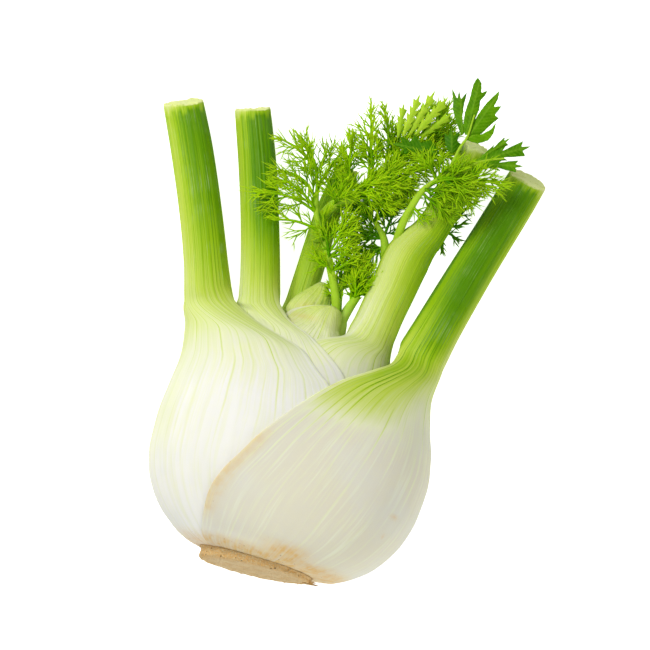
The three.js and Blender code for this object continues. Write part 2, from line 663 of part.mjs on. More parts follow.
    sprays: [
      spray([8, 113.8, 1.6], [7.4, 121, 3], [8.8, 130.6, 4.6], 15, 5, 5),
      spray([7.4, 112, 1.3], [5.8, 120, 0.4], [6.4, 131, -1], -15, 5, 5.5),
      spray([1, 120.6, 0.4], [1.4, 124.6, -0.4], [3, 129.4, -0.8], 15, 3, 6),
      spray([1.6, 113, -0.6], [-0.2, 119, -0.8], [-1, 125.6, -1], -20, 4, 5.5),
      spray([6.8, 110, 1], [5.2, 116, 3], [4.4, 122, 4.4], -10, 3, 5.5),
    ],
  },
];

// A spray is cut from one thin blade: a rib with pinnules on both sides and threads on their sides.
const SPRAY = {
  thick: 0.8, // of the blade
  rib: 0.5, // half width of the rib at its foot, of a pinnule and of a thread
  pinnule: 0.42,
  foot: 0.62, // half of what a pinnule's foot takes of the rib, and a thread's of the pinnule
  threadFoot: 0.5,
  bare: 0.1, // share of the rib before the first pinnule
  lean: [56, 34], // degrees between rib and pinnule, at the rib's foot and tip
  curl: 0.07, // how far a pinnule bows, as a share of its length
  jitter: 0.3, // of a pinnule's place, as a share of the space between two
  vary: 0.24, // of its length
  sway: 10, // of its lean, in degrees
  taper: 0.6, // share of its width that a branch loses on the way to its tip
  twist: 0.4, // of the whole spray about its rib
  full: 6.6, // length from which a pinnule has all its threads
};
const THREADS = [
  { from: 0.3, hand: -1, lean: 36, length: 0.52 },
  { from: 0.56, hand: 1, lean: 36, length: 0.4 },
]; // on a pinnule: shares of its length, hand and degrees
const THREAD_HALF = 0.1;

// A pinnule's length as a share of the spray's longest, by its place along the rib.
const longAt = (share) => 0.55 + 0.45 * Math.sin(Math.PI * (0.2 + 0.65 * share));

// The outline of a branch and all that it bears, drawn from its right foot round its tip to its left foot.
function branchOutline({ from, angle, length, bow, half, foot, twigs }, feet) {
  const place = (s, aside) => {
    const v = 4 * bow * (s / length) * (1 - s / length) + aside;
    const [c, d] = [Math.cos(angle), Math.sin(angle)];
    return [from[0] + s * c - v * d, from[1] + s * d + v * c];
  };
  const edge = (s, hand) => place(s, hand * half * (1 - (SPRAY.taper * s) / length));
  const walk = (hand) => {
    const row = twigs.filter((twig) => twig.hand === hand).sort((a, b) => hand * (b.from - a.from));
    return row.flatMap((twig) => {
      const s = twig.from * length;
      const ahead = angle + Math.atan((4 * bow * (1 - (2 * s) / length)) / length);
      const child = { ...twig, from: place(s, 0), angle: ahead + hand * twig.lean };
      return branchOutline(child, [edge(s + hand * foot, hand), edge(s - hand * foot, hand)]);
    });
  };
  return [feet[0], ...walk(-1), place(length, 0), ...walk(1), feet[1]];
}

// The pinnules of a spray, as twigs on its rib.
function pinnules({ count, size }, ids) {
  return Array.from({ length: count }, (_, k) => {
    const place = k + 0.5 + SPRAY.jitter * (chance(...ids, k) - 0.5);
    const share = SPRAY.bare + (1 - SPRAY.bare) * (place / count);
    const hand = (k + ids[1]) % 2 ? 1 : -1;
    const length = size * longAt(share) * (1 + SPRAY.vary * (chance(...ids, k, 1) - 0.5));
    const lean = mix(...SPRAY.lean, share) + SPRAY.sway * (chance(...ids, k, 2) - 0.5);
    const threads = THREADS.slice(length > SPRAY.full ? 0 : 1).map((one) => ({
      ...one, lean: rad(one.lean), length: one.length * length, bow: 0, half: THREAD_HALF, foot: 0, twigs: [],
      hand: one.hand * hand,
    }));
    return {
      from: share, hand, length, lean: rad(lean), bow: hand * SPRAY.curl * length, half: SPRAY.pinnule,
      foot: SPRAY.threadFoot, twigs: threads,
    };
  });
}

function spraySolid(one, ids) {
  const [foot, tip] = [vec(...one.foot), vec(...one.tip)];
  const length = foot.distanceTo(tip);
  const ahead = tip.clone().sub(foot).normalize();
  const normal = vec(0, 0, 1).addScaledVector(ahead, -ahead.z).normalize().applyAxisAngle(ahead, rad(one.roll));
  const aside = vec(0, 0, 0).crossVectors(normal, ahead);
  const way = vec(...one.way).sub(foot);
  const u = way.dot(ahead);
  const [bow, arch] = [aside, normal].map((axis) => way.dot(axis) / (u * (length - u)));
  const twist = SPRAY.twist * (chance(...ids, 7) - 0.5);
  const rib = {
    from: [0, 0], angle: 0, length, bow: (bow * length * length) / 4, half: SPRAY.rib, foot: SPRAY.foot,
    twigs: pinnules(one, ids),
  };
  const outline = branchOutline(rib, [[0, -SPRAY.rib], [0, SPRAY.rib]]);
  return plate(outline, SPRAY.thick, ([a, b, n]) =>
    foot
      .clone()
      .addScaledVector(ahead, a)
      .addScaledVector(aside, b)
      .addScaledVector(normal, n + arch * a * (length - a) + (2 * twist * a * b) / length),
  );
}

function frondSolid({ stems, sprays, leaflets = [] }, id) {
  const swept = stems.map(({ half, path }) => {
    const widths = path.map((_, i) => mix(half[0], half[1], i / (path.length - 1)));
    return sweep(path.map((p) => vec(...p)), widths, STEM_SIDES);
  });
  const threads = sprays.map((one, k) => spraySolid(one, [id, k]));
  return wasm.Manifold.union([...swept, ...threads, ...leaflets.map(leafletSolid)]);
}

// ---------------------------------------------------------------- the pieces, laid down

// Where a leaf closes into its stalk it presses into the leaves inside it, and a frond's foot sits on the
// skin of the stalk that it grows from. Each piece is cut clear of those.
const CLEAR = 0.36;
const TRUE_TO = 0.06; // how far the facets may move when slivers left by a cut are merged
const leaves = LEAVES.map((_, i) => leafSolid(i));
const clearOf = (solid, others) =>
  largest(others.reduce((left, i) => cutClear(left, leaves[i], CLEAR), solid).simplify(TRUE_TO));
const outside = (i) => LEAVES.map((_, j) => j).filter((j) => j > i);

const pieces = [
  { name: "root_plate", finish: FINISH.root, solid: plateSolid() },
  { name: "heart_leaf_back", finish: FINISH.heart, solid: clearOf(hoodSolid(), outside(-1)) },
  ...LEAVES.map(({ name, finish }, i) => ({ name, finish, solid: clearOf(leaves[i], outside(i)) })),
  ...FRONDS.map((frond, id) => {
    const solid = frondSolid(frond, id);
    return { name: frond.name, finish: frond.finish, solid: clearOf(solid, frond.grows) };
  }),
];

// The belly and the tips of the two outer stalks press a small flat on the surface below.
function laidDown(solid) {
  const geometry = toGeometry(solid).rotateX(-rad(PITCH)).translate(...ROOT_PLACE);
  return toGeometry(solidOf(geometry).trimByPlane([0, 0, 1], 0));
}

const group = new THREE.Group();
group.name = "fennel_bulb";
for (const { name, finish, solid } of pieces) {
  const material = new THREE.MeshStandardMaterial({ metalness: 0, ...finish });
  const mesh = new THREE.Mesh(laidDown(solid), material);
  mesh.name = name;
  group.add(mesh);
}

export default group;
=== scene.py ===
"""A trimmed Florence fennel bulb with its cut stalks and young fronds, lying on a white studio floor.

The bulb is a nest of leaves. Each leaf is a fleshy sheath that wraps the leaves inside it and closes at the
top into one stalk. Sizes are in millimetres in the bulb's own frame: x to the right, y along the bulb's axis
from the root face, z to the front. laid_down turns them into metres in the part's frame.
"""

import logging
import math
import random
from dataclasses import dataclass, field, replace
from enum import Enum
from functools import partial, reduce
from typing import Any, Iterable, Optional, Sequence

import bmesh
import bpy
import numpy as np
from mathutils import Matrix, Vector


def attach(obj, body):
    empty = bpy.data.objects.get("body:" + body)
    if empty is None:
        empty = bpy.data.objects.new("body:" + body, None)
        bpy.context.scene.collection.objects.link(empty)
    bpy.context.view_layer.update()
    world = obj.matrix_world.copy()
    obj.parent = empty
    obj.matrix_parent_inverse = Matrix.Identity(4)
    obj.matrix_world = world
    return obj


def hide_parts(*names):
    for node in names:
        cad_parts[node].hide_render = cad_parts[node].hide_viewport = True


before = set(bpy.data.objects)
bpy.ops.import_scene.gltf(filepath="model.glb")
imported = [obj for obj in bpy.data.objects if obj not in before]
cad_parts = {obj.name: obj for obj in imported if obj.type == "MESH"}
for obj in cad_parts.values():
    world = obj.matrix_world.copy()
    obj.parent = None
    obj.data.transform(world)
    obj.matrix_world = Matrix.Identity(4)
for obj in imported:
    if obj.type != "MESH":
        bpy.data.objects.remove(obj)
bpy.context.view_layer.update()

log = logging.getLogger("fennel")

Array = np.ndarray
Pair = tuple[float, float]
Point = tuple[float, float, float]
Tree, Node, Socket, Piece = bpy.types.NodeTree, bpy.types.Node, bpy.types.NodeSocket, bpy.types.Object

MM = 0.001  # metres in a millimetre
ROUND = 2 * math.pi
BODY = "root"
PITCH = math.radians(8)  # how far the stalk tips hang below the level of the root
ROOT_PLACE = np.array((9.66, -101.64, 42.9))  # the middle of the root face, once the bulb lies down
GAP = 0.55  # between one sheath and the next, which is FOOT_GAP at their flaring feet
FOOT_GAP = 1.3
EDGE = 0.8  # a sheath's thickness at its free edge
BASE = 2.4  # height of the sheaths' feet, on top of the root plate
RIB_RUN = 1.6  # how fast a rib changes on its way along a leaf


# ---- small helpers


def smooth(low: float, high: float, at: Any) -> Any:
    """Returns 0 below low, 1 above high and a smooth step between them."""
    t = np.clip((np.asarray(at, float) - low) / (high - low), 0, 1)
    return t * t * (3 - 2 * t)


def unit(v: Array) -> Array:
    """Returns vectors scaled to length 1."""
    return v / np.maximum(np.linalg.norm(v, axis=-1, keepdims=True), 1e-12)


def laid_down(points: Array) -> Array:
    """Lays the bulb down.

    Args:
        points: Points in millimetres in the bulb's own frame, in the last axis.

    Returns:
        The points in metres in the part's frame, none of them below the surface that the bulb lies on.
    """
    x, y, z = np.moveaxis(np.asarray(points, float), -1, 0)
    c, s = math.cos(PITCH), math.sin(PITCH)
    placed = np.stack([x, y * c + z * s, z * c - y * s], axis=-1) + ROOT_PLACE
    placed[..., 2] = np.maximum(placed[..., 2], 0)
    return placed * MM


def paint(code: str) -> tuple[float, float, float, float]:
    """Turns a colour code into the colour that a node takes.

    Args:
        code: Six hexadecimal figures, in sRGB.

    Returns:
        The linear colour, opaque.
    """
    parts = [int(code[i : i + 2], 16) / 255 for i in (0, 2, 4)]
    r, g, b = [c / 12.92 if c <= 0.04045 else ((c + 0.055) / 1.055) ** 2.4 for c in parts]
    return (r, g, b, 1.0)


class Curve:
    """A smooth function through knots that never overshoots them and stays level past both ends."""

    def __init__(self, *knots: Pair) -> None:
        """Sets the tangents.

        Args:
            knots: Pairs of a place and the value there, in order.
        """
        self.x, self.v = np.array(knots, float).T
        slope = np.diff(self.v) / np.diff(self.x)
        a, b = slope[:-1], slope[1:]
        level = a * b <= 0
        middle = np.where(level, 0, 2 * a * b / np.where(level, 1, a + b))
        self.tangent = np.concatenate([slope[:1], middle, slope[-1:]])

    def __call__(self, at: Any) -> Array:
        """Reads the curve.

        Args:
            at: The places.

        Returns:
            The value at each.
        """
        at = np.clip(np.asarray(at, float), self.x[0], self.x[-1])
        i = np.clip(np.searchsorted(self.x, at, side="right") - 1, 0, len(self.x) - 2)
        width = self.x[i + 1] - self.x[i]
        t = (at - self.x[i]) / width
        rise = t * t * (3 - 2 * t)
        bend = self.tangent[i] * (t**3 - 2 * t**2 + t) + self.tangent[i + 1] * (t**3 - t**2)
        return self.v[i] * (1 - rise) + self.v[i + 1] * rise + width * bend


# ---- node trees


class Wiring:
    """Adds and links the nodes of one tree."""

    def __init__(self, tree: Tree) -> None:
        """Takes the tree to build in."""
        self.tree = tree

    def feed(self, socket: Socket, value: Any) -> None:
        """Links an output to a socket, or sets the socket's own value.

        Args:
            socket: An input socket.
            value: An output socket, or a plain value.
        """
        if isinstance(value, Socket):
            self.tree.links.new(value, socket)
        else:
            socket.default_value = value

    def add(self, kind: str, inputs: Optional[dict[Any, Any]] = None, **settings: Any) -> Node:
        """Adds a node.

        Args:
            kind: The node's type name.
            inputs: Values or output sockets, by the name or index of the node's input.
            settings: The node's own properties.

        Returns:
            The node.
        """
        node = self.tree.nodes.new(kind)
        for name, value in settings.items():
            setattr(node, name, value)
        for name, value in (inputs or {}).items():
            self.feed(node.inputs[name], value)
        return node

    def math(self, operation: str, *values: Any) -> Socket:
        """Returns the result of a Math node on the values."""
        return self.add("ShaderNodeMath", dict(enumerate(values)), operation=operation).outputs[0]

    def plus(self, *values: Any) -> Socket:
        """Returns the sum of the values."""
        return reduce(partial(self.math, "ADD"), values)

    def times(self, *values: Any) -> Socket:
        """Returns the product of the values."""
        return reduce(partial(self.math, "MULTIPLY"), values)

    def minus(self, one: Any, other: Any) -> Socket:
        """Returns one value less the other."""
        return self.math("SUBTRACT", one, other)

    def between(self, share: Any, low: float, high: float) -> Socket:
        """Returns a value that goes evenly from low to high as share goes from 0 to 1."""
        return self.plus(self.times(share, high - low), low)

    def spread(self, value: Any, low: Any, high: Any, to_low: float = 0, to_high: float = 1) -> Socket:
        """Maps a value smoothly from one range, low to high, to another, and holds it level past both ends."""
        inputs = {0: value, 1: low, 2: high, 3: to_low, 4: to_high}
        return self.add("ShaderNodeMapRange", inputs, interpolation_type="SMOOTHSTEP").outputs[0]

    def mix(self, share: Any, one: Any, other: Any) -> Socket:
        """Returns two colours mixed by a share."""
        return self.add("ShaderNodeMix", {0: share, 6: one, 7: other}, data_type="RGBA").outputs[2]

    def tint(self, colour: Any, code: str, mask: Any, strength: float = 1.0) -> Socket:
        """Returns a colour with another over it where a mask says, as strongly as given."""
        return self.mix(self.times(mask, strength), colour, paint(code))

    def vector(self, x: Any, y: Any, z: Any) -> Socket:
        """Returns a vector of three values."""
        return self.add("ShaderNodeCombineXYZ", {0: x, 1: y, 2: z}).outputs[0]

    def noise(self, vector: Any, scale: Any, detail: float) -> Socket:
        """Returns the value of a noise pattern, from 0 to 1."""
        return self.add("ShaderNodeTexNoise", {"Vector": vector, "Scale": scale, "Detail": detail}).outputs[0]

    def ramp(self, at: Any, *stops: tuple[float, str]) -> Socket:
        """Adds a colour ramp.

        Args:
            at: The place on the ramp.
            stops: Pairs of a place and a colour code.

        Returns:
            The colour at that place.
        """
        node = self.add("ShaderNodeValToRGB", {0: at})
        elements = node.color_ramp.elements
        while len(elements) < len(stops):
            elements.new(0.5)
        for element, (place, code) in zip(elements, stops):
            element.position = place
            element.color = paint(code)
        return node.outputs[0]

    def attribute(self, name: str) -> Socket:
        """Returns a piece's own float attribute, in a material."""
        return self.add("ShaderNodeAttribute", attribute_name=name).outputs["Fac"]

    def group(self, tree: Tree, **inputs: Any) -> Node:
        """Returns a shader group's node, with its inputs fed by name."""
        return self.add("ShaderNodeGroup", inputs, node_tree=tree)


NUMBER, COUNT, SHAPE, PAINT = "NodeSocketFloat", "NodeSocketInt", "NodeSocketGeometry", "NodeSocketMaterial"


def new_tree(
    name: str, kind: str, takes: Iterable[tuple[str, str]], gives: Iterable[tuple[str, str]]
) -> tuple[Tree, Wiring, Node, Node]:
    """Makes an empty node group with its sockets.

    Args:
        name: The group's name.
        kind: ShaderNodeTree or GeometryNodeTree.
        takes: Name and socket type of each input.
        gives: Name and socket type of each output.

    Returns:
        The tree, its wiring, and its input and output nodes.
    """
    tree = bpy.data.node_groups.new(name, kind)
    for in_out, sockets in (("INPUT", takes), ("OUTPUT", gives)):
        for label, socket in sockets:
            tree.interface.new_socket(label, in_out=in_out, socket_type=socket)
    wire = Wiring(tree)
    return tree, wire, wire.add("NodeGroupInput"), wire.add("NodeGroupOutput")


class Shaders:
    """The patterns that several finishes use, each a node group that is built once."""

    def __init__(self) -> None:
        """Builds the groups."""
        self.ribs = self.build_ribs()
        self.blotches = self.build_blotches()
        self.specks = self.build_specks()

    def blotch(self, wire: Wiring, scale: float, low: float, high: float, seed: float) -> Socket:
        """Returns a mask of soft blotches, in a material."""
        return wire.group(self.blotches, Scale=scale, Low=low, High=high, Seed=seed).outputs[0]

    def speck(self, wire: Wiring, scale: float, size: float, share: float) -> Socket:
        """Returns a mask of small sharp specks, in a material."""
        return wire.group(self.specks, Scale=scale, Size=size, Share=share).outputs[0]

    @staticmethod
    def pattern(name: str, takes: Sequence[str], gives: Sequence[str]) -> tuple[Tree, Wiring, Node, Node]:
        """Makes an empty shader group, whose sockets hold numbers, as new_tree does."""
        inputs, outputs = ([(label, NUMBER) for label in labels] for labels in (takes, gives))
        return new_tree(name, "ShaderNodeTree", inputs, outputs)

    @classmethod
    def build_ribs(cls) -> Tree:
        """Builds the long ribs, thin veins and fine fibres that run along a leaf.

        Returns:
            The group.
        """
        takes, gives = ("Across", "Along", "Ribs", "Seed"), ("Rib", "Vein", "Fibre")
        tree, wire, start, end = cls.pattern("leaf_ribs", takes, gives)
        across, along, ribs, seed = start.outputs[:4]
        wide = wire.times(across, ribs)
        rib = wire.noise(wire.vector(wide, wire.times(along, RIB_RUN), seed), 1.0, 0.0)
        drift = wire.noise(wire.vector(wire.times(across, 4.0), along, seed), 1.5, 1.0)
        place = wire.plus(wire.times(wide, 0.5), drift)
        number = wire.math("FLOOR", place)
        lot = {"W": wire.plus(number, seed)}
        pick = wire.add("ShaderNodeTexWhiteNoise", lot, noise_dimensions="1D").outputs[0]
        middle = wire.between(pick, 0.25, 0.75)
        off = wire.math("ABSOLUTE", wire.minus(wire.minus(place, number), middle))
        fade = wire.noise(wire.vector(wire.times(number, 3.7), wire.times(along, 3.0), seed), 1.0, 1.0)
        line = wire.times(wire.spread(off, 0.02, 0.13, 1.0, 0.0), wire.spread(fade, 0.34, 0.6))
        vein = wire.times(line, wire.between(pick, 0.3, 1.0))
        fibre = wire.noise(wire.vector(wire.times(wide, 1.7), wire.times(along, 3.2), seed), 1.0, 4.0)
        for label, value in zip(gives, (rib, vein, fibre)):
            wire.feed(end.inputs[label], value)
        return tree

    @classmethod
    def build_blotches(cls) -> Tree:
        """Builds soft blotches.

        Returns:
            The group.
        """
        tree, wire, start, end = cls.pattern("blotches", ("Scale", "Low", "High", "Seed"), ("Mask",))
        scale, low, high, seed = start.outputs[:4]
        place = wire.add("ShaderNodeTexCoord").outputs["Object"]
        moved = wire.add("ShaderNodeVectorMath", {0: place, 1: seed}, operation="ADD").outputs[0]
        wire.feed(end.inputs["Mask"], wire.spread(wire.noise(moved, scale, 4.0), low, high))
        return tree

    @classmethod
    def build_specks(cls) -> Tree:
        """Builds small sharp specks of uneven size.

        Returns:
            The group.
        """
        tree, wire, start, end = cls.pattern("specks", ("Scale", "Size", "Share"), ("Mask",))
        scale, size, share = start.outputs[:3]
        place = wire.add("ShaderNodeTexCoord").outputs["Object"]
        cells = wire.add("ShaderNodeTexVoronoi", {"Vector": place, "Scale": scale})
        pick = wire.add("ShaderNodeSeparateColor", {0: cells.outputs["Color"]}).outputs[0]
        dot = wire.math("LESS_THAN", cells.outputs["Distance"], wire.times(size, wire.plus(pick, 0.6)))
        wire.feed(end.inputs["Mask"], wire.times(wire.math("LESS_THAN", pick, share), dot))
        return tree


@dataclass(frozen=True)
class Finish:
    """A procedural finish. Each kind paints its own colour, roughness and relief."""

    name: str

    def build(self, shaders: Shaders) -> bpy.types.Material:
        """Makes the material.

        Args:
            shaders: The shared node groups.

        Returns:
            The material.
        """
        material = bpy.data.materials.new(self.name)
        material.use_nodes = True
        material.node_tree.nodes.clear()
        wire = Wiring(material.node_tree)
        skin = wire.add("ShaderNodeBsdfPrincipled")
        wire.add("ShaderNodeOutputMaterial", {"Surface": skin.outputs[0]})
        self.dress(wire, skin, shaders)
        return material

    def dress(self, wire: Wiring, skin: Node, shaders: Shaders) -> None:
        """Feeds the shader's sockets. Each finish has its own."""
        raise NotImplementedError

    @staticmethod
    def bump(wire: Wiring, skin: Node, height: Any, depth: float, strength: float) -> None:
        """Gives a shader the fine relief of a height pattern, as deep as given in metres."""
        node = wire.add("ShaderNodeBump", {"Strength": strength, "Distance": depth, "Height": height})
        wire.feed(skin.inputs["Normal"], node.outputs[0])

    @staticmethod
    def soften(skin: Node, shine: float, weight: float, radius: Point, depth: float) -> None:
        """Lets light into a shader's surface, as into flesh.

        Args:
            skin: The shader node.
            shine: The level of its mirror reflection.
            weight: How much light goes in.
            radius: How far red, green and blue spread, as shares of the depth.
            depth: How deep light goes, in metres.
        """
        skin.inputs["Specular IOR Level"].default_value = shine
        skin.inputs["Subsurface Weight"].default_value = weight
        skin.inputs["Subsurface Radius"].default_value = radius
        skin.inputs["Subsurface Scale"].default_value = depth


@dataclass(frozen=True)
class LeafFinish(Finish):
    """Waxy leaf flesh: ivory with pale veins on the sheath, ribbed green on the stalk and wet where cut."""

    flesh: str = "f5f4e4"
    ribs: float = 30.0  # how many from one edge to the middle
    seed: float = 0.0
    bloom: float = 0.35  # strength of the chalky bloom on the stalk
    vein: float = 0.34  # strength of the veins
    stripe: float = 0.0  # strength of green stripes along the sheath's ribs
    crease: float = 0.0  # depth of soft creases across the ribs, in tenths of a millimetre

    def dress(self, wire: Wiring, skin: Node, shaders: Shaders) -> None:
        """Paints the greens by the piece's green attribute, and veins, stains and the cut end over them.

        Args:
            wire: The material's wiring.
            skin: The shader node.
            shaders: The shared node groups.
        """
        green, cut = wire.attribute("green"), wire.attribute("cut")
        across, along = wire.attribute("across"), wire.attribute("along")
        pattern = wire.group(shaders.ribs, Across=across, Along=along, Ribs=self.ribs, Seed=self.seed)
        rib, vein, fibre = pattern.outputs
        patches = shaders.blotch(wire, 120.0, 0.4, 0.7, self.seed)
        cells = shaders.speck(wire, 900.0, 0.34, 0.5)
        colour = self.greens(wire, green, rib, vein, fibre)
        colour = self.waxed(wire, shaders, colour, green, rib, fibre, patches)
        colour = self.stained(wire, shaders, colour, fibre)
        wet = wire.mix(wire.times(cells, 0.5), paint("e8f29c"), paint("c4da60"))
        wire.feed(skin.inputs["Base Color"], wire.mix(cut, colour, wet))
        wire.feed(skin.inputs["Roughness"], wire.between(fibre, 0.3, 0.55))
        skin.inputs["IOR"].default_value = 1.4
        self.soften(skin, 0.14, 0.25, (1.0, 0.95, 0.4), 0.003)
        height = wire.plus(fibre, wire.times(cells, cut), wire.times(patches, self.crease))
        self.bump(wire, skin, height, 0.0002, 0.5)

    def greens(self, wire: Wiring, green: Socket, rib: Socket, vein: Socket, fibre: Socket) -> Socket:
        """Colours the leaf from ivory to deep green.

        Args:
            wire: The material's wiring.
            green: How green the leaf is.
            rib: The pattern of ribs.
            vein: The pattern of veins.
            fibre: The pattern of fibres.

        Returns:
            The colour.
        """
        stalky = wire.spread(green, 0.25, 0.7)
        turning = wire.times(green, wire.minus(1.0, green), 0.7)
        striped = wire.plus(wire.times(stalky, 0.16), turning, self.stripe)
        stripes = wire.times(wire.minus(rib, 0.5), striped)
        veins = wire.times(vein, wire.attribute("veins"), self.vein)
        fine = wire.times(wire.minus(fibre, 0.5), wire.between(stalky, 0.34, 0.32))
        depth = wire.plus(wire.plus(green, stripes), wire.plus(veins, fine))
        return wire.ramp(
            depth, (0.0, self.flesh), (0.12, "f1f5cc"), (0.3, "dfec92"), (0.5, "c8df50"), (0.72, "a2ca18"),
            (0.88, "76aa06"), (1.0, "5c9603"),
        )

    def waxed(
        self, wire: Wiring, shaders: Shaders, colour: Any, green: Any, rib: Any, fibre: Any, patches: Any
    ) -> Socket:
        """Lays chalky bloom on the stalk, and white fibres, grey clouds and faint streaks on the sheath.

        Args:
            wire: The material's wiring.
            shaders: The shared node groups.
            colour: The colour below.
            green: How green the leaf is.
            rib: The pattern of ribs.
            fibre: The pattern of fibres.
            patches: Where the bloom is thick.

        Returns:
            The colour.
        """
        stalky, ivory = wire.spread(green, 0.25, 0.7), wire.spread(green, 0.05, 0.3, 1.0, 0.0)
        chalk = wire.times(patches, wire.spread(fibre, 0.5, 0.72), stalky)
        pale = wire.times(wire.spread(fibre, 0.52, 0.75), wire.minus(1.0, stalky))
        clouds = wire.times(shaders.blotch(wire, 34.0, 0.42, 0.66, self.seed), ivory)
        streaks = wire.times(wire.spread(rib, 0.4, 0.75), ivory)
        layers = (
            ("dcf0ac", chalk, self.bloom), ("ffffff", pale, 0.26),
            ("eceee6", clouds, 0.4), ("e2e1ca", streaks, 0.08),
        )
        for layer in layers:
            colour = wire.tint(colour, *layer)
        return colour

    @staticmethod
    def stained(wire: Wiring, shaders: Shaders, colour: Socket, fibre: Socket) -> Socket:
        """Lays golden stains and brown dots where the piece's stain attribute says.

        Args:
            wire: The material's wiring.
            shaders: The shared node groups.
            colour: The colour below.
            fibre: The pattern of fibres.

        Returns:
            The colour.
        """
        stain = wire.attribute("stain")
        patchy = wire.times(shaders.blotch(wire, 330.0, 0.38, 0.68, 3.0), 0.3)
        streaky = wire.plus(patchy, wire.spread(fibre, 0.3, 0.66, 0.3, 0.62))
        colour = wire.tint(colour, "e6b452", wire.times(stain, streaky))
        return wire.tint(colour, "a8713a", wire.times(shaders.speck(wire, 620.0, 0.24, 0.25), stain), 0.5)


@dataclass(frozen=True)
class RootFinish(Finish):
    """Dry cut root: tan and corky, browner at its rim, with dark specks."""

    def dress(self, wire: Wiring, skin: Node, shaders: Shaders) -> None:
        """Paints the tan face and the crust by the piece's rim attribute.

        Args:
            wire: The material's wiring.
            skin: The shader node.
            shaders: The shared node groups.
        """
        rim = wire.attribute("rim")
        coarse = shaders.blotch(wire, 260.0, 0.3, 0.7, 1.0)
        fine = shaders.blotch(wire, 1300.0, 0.35, 0.7, 5.0)
        face = wire.mix(coarse, paint("ecc88a"), paint("f6dcaa"))
        crust = wire.mix(fine, paint("ecbc72"), paint("fae0a8"))
        colour = wire.tint(wire.mix(rim, face, crust), "d0a868", fine, 0.25)
        dark = wire.times(shaders.speck(wire, 700.0, 0.34, 0.22), wire.between(rim, 0.2, 0.8))
        wire.feed(skin.inputs["Base Color"], wire.tint(colour, "6f4a26", dark))
        wire.feed(skin.inputs["Roughness"], wire.spread(fine, 0.0, 1.0, 0.75, 0.95))
        self.bump(wire, skin, wire.plus(fine, coarse), 0.0006, 0.8)


@dataclass(frozen=True)
class FrondFinish(Finish):
    """Soft thread foliage, deeper green inside and yellower at its tips. Its tone is partly random and partly
    painted shade: threads that lie further back are a deeper green.
    """

    deep: str = "4a9000"
    full: str = "a2dc00"
    tip: str = "c8ee1c"

    def dress(self, wire: Wiring, skin: Node, shaders: Shaders) -> None:
        """Paints the threads by the piece's tone and tip attributes.

        Args:
            wire: The material's wiring.
            skin: The shader node.
            shaders: The shared node groups.
        """
        tone, tip = wire.attribute("tone"), wire.attribute("tip")
        mottle = shaders.blotch(wire, 300.0, 0.3, 0.7, 2.0)
        share = wire.plus(wire.times(mottle, 0.3), wire.times(tone, 0.8))
        colour = wire.mix(share, paint(self.deep), paint(self.full))
        wire.feed(skin.inputs["Base Color"], wire.tint(colour, self.tip, wire.spread(tip, 0.2, 1.0), 0.65))
        wire.feed(skin.inputs["Roughness"], wire.spread(mottle, 0.0, 1.0, 0.42, 0.6))
        self.soften(skin, 0.06, 0.3, (0.6, 1.0, 0.2), 0.001)
        self.bump(wire, skin, mottle, 0.0001, 0.4)


@dataclass(frozen=True)
class LeafletFinish(Finish):
    """Broad cut leaflets with a pale midrib and side veins."""

    deep: str = "377600"
    full: str = "72b004"

    def dress(self, wire: Wiring, skin: Node, shaders: Shaders) -> None:
        """Paints the blade by the piece's tone attribute and its ribs by the vein attribute.

        Args:
            wire: The material's wiring.
            skin: The shader node.
            shaders: The shared node groups.
        """
        tone, vein = wire.attribute("tone"), wire.attribute("vein")
        mottle = shaders.blotch(wire, 380.0, 0.3, 0.7, 4.0)
        share = wire.plus(wire.times(mottle, 0.35), wire.times(tone, 0.75))
        colour = wire.mix(share, paint(self.deep), paint(self.full))
        wire.feed(skin.inputs["Base Color"], wire.tint(colour, "a2d03a", vein, 0.35))
        wire.feed(skin.inputs["Roughness"], wire.spread(mottle, 0.0, 1.0, 0.38, 0.55))
        self.soften(skin, 0.05, 0.2, (0.6, 1.0, 0.2), 0.001)
        self.bump(wire, skin, mottle, 0.0002, 0.5)


@dataclass(frozen=True)
class FloorFinish(Finish):
    """The plain white floor, lit from below like a light table."""

    def dress(self, wire: Wiring, skin: Node, shaders: Shaders) -> None:
        """Sets a matt white that glows a little.

        Args:
            wire: The material's wiring.
            skin: The shader node.
            shaders: The shared node groups.
        """
        white = wire.mix(shaders.blotch(wire, 3.0, 0.2, 0.8, 0.0), paint("f6f6f5"), paint("f8f8f7"))
        seen = wire.add("ShaderNodeLightPath").outputs["Is Camera Ray"]
        wire.feed(skin.inputs["Base Color"], wire.mix(seen, paint("e6e6e2"), white))
        skin.inputs["Roughness"].default_value = 0.9
        skin.inputs["Emission Color"].default_value = (1.0, 1.0, 1.0, 1.0)
        wire.feed(skin.inputs["Emission Strength"], wire.between(seen, 0.3, 0.92))


# ---- meshes


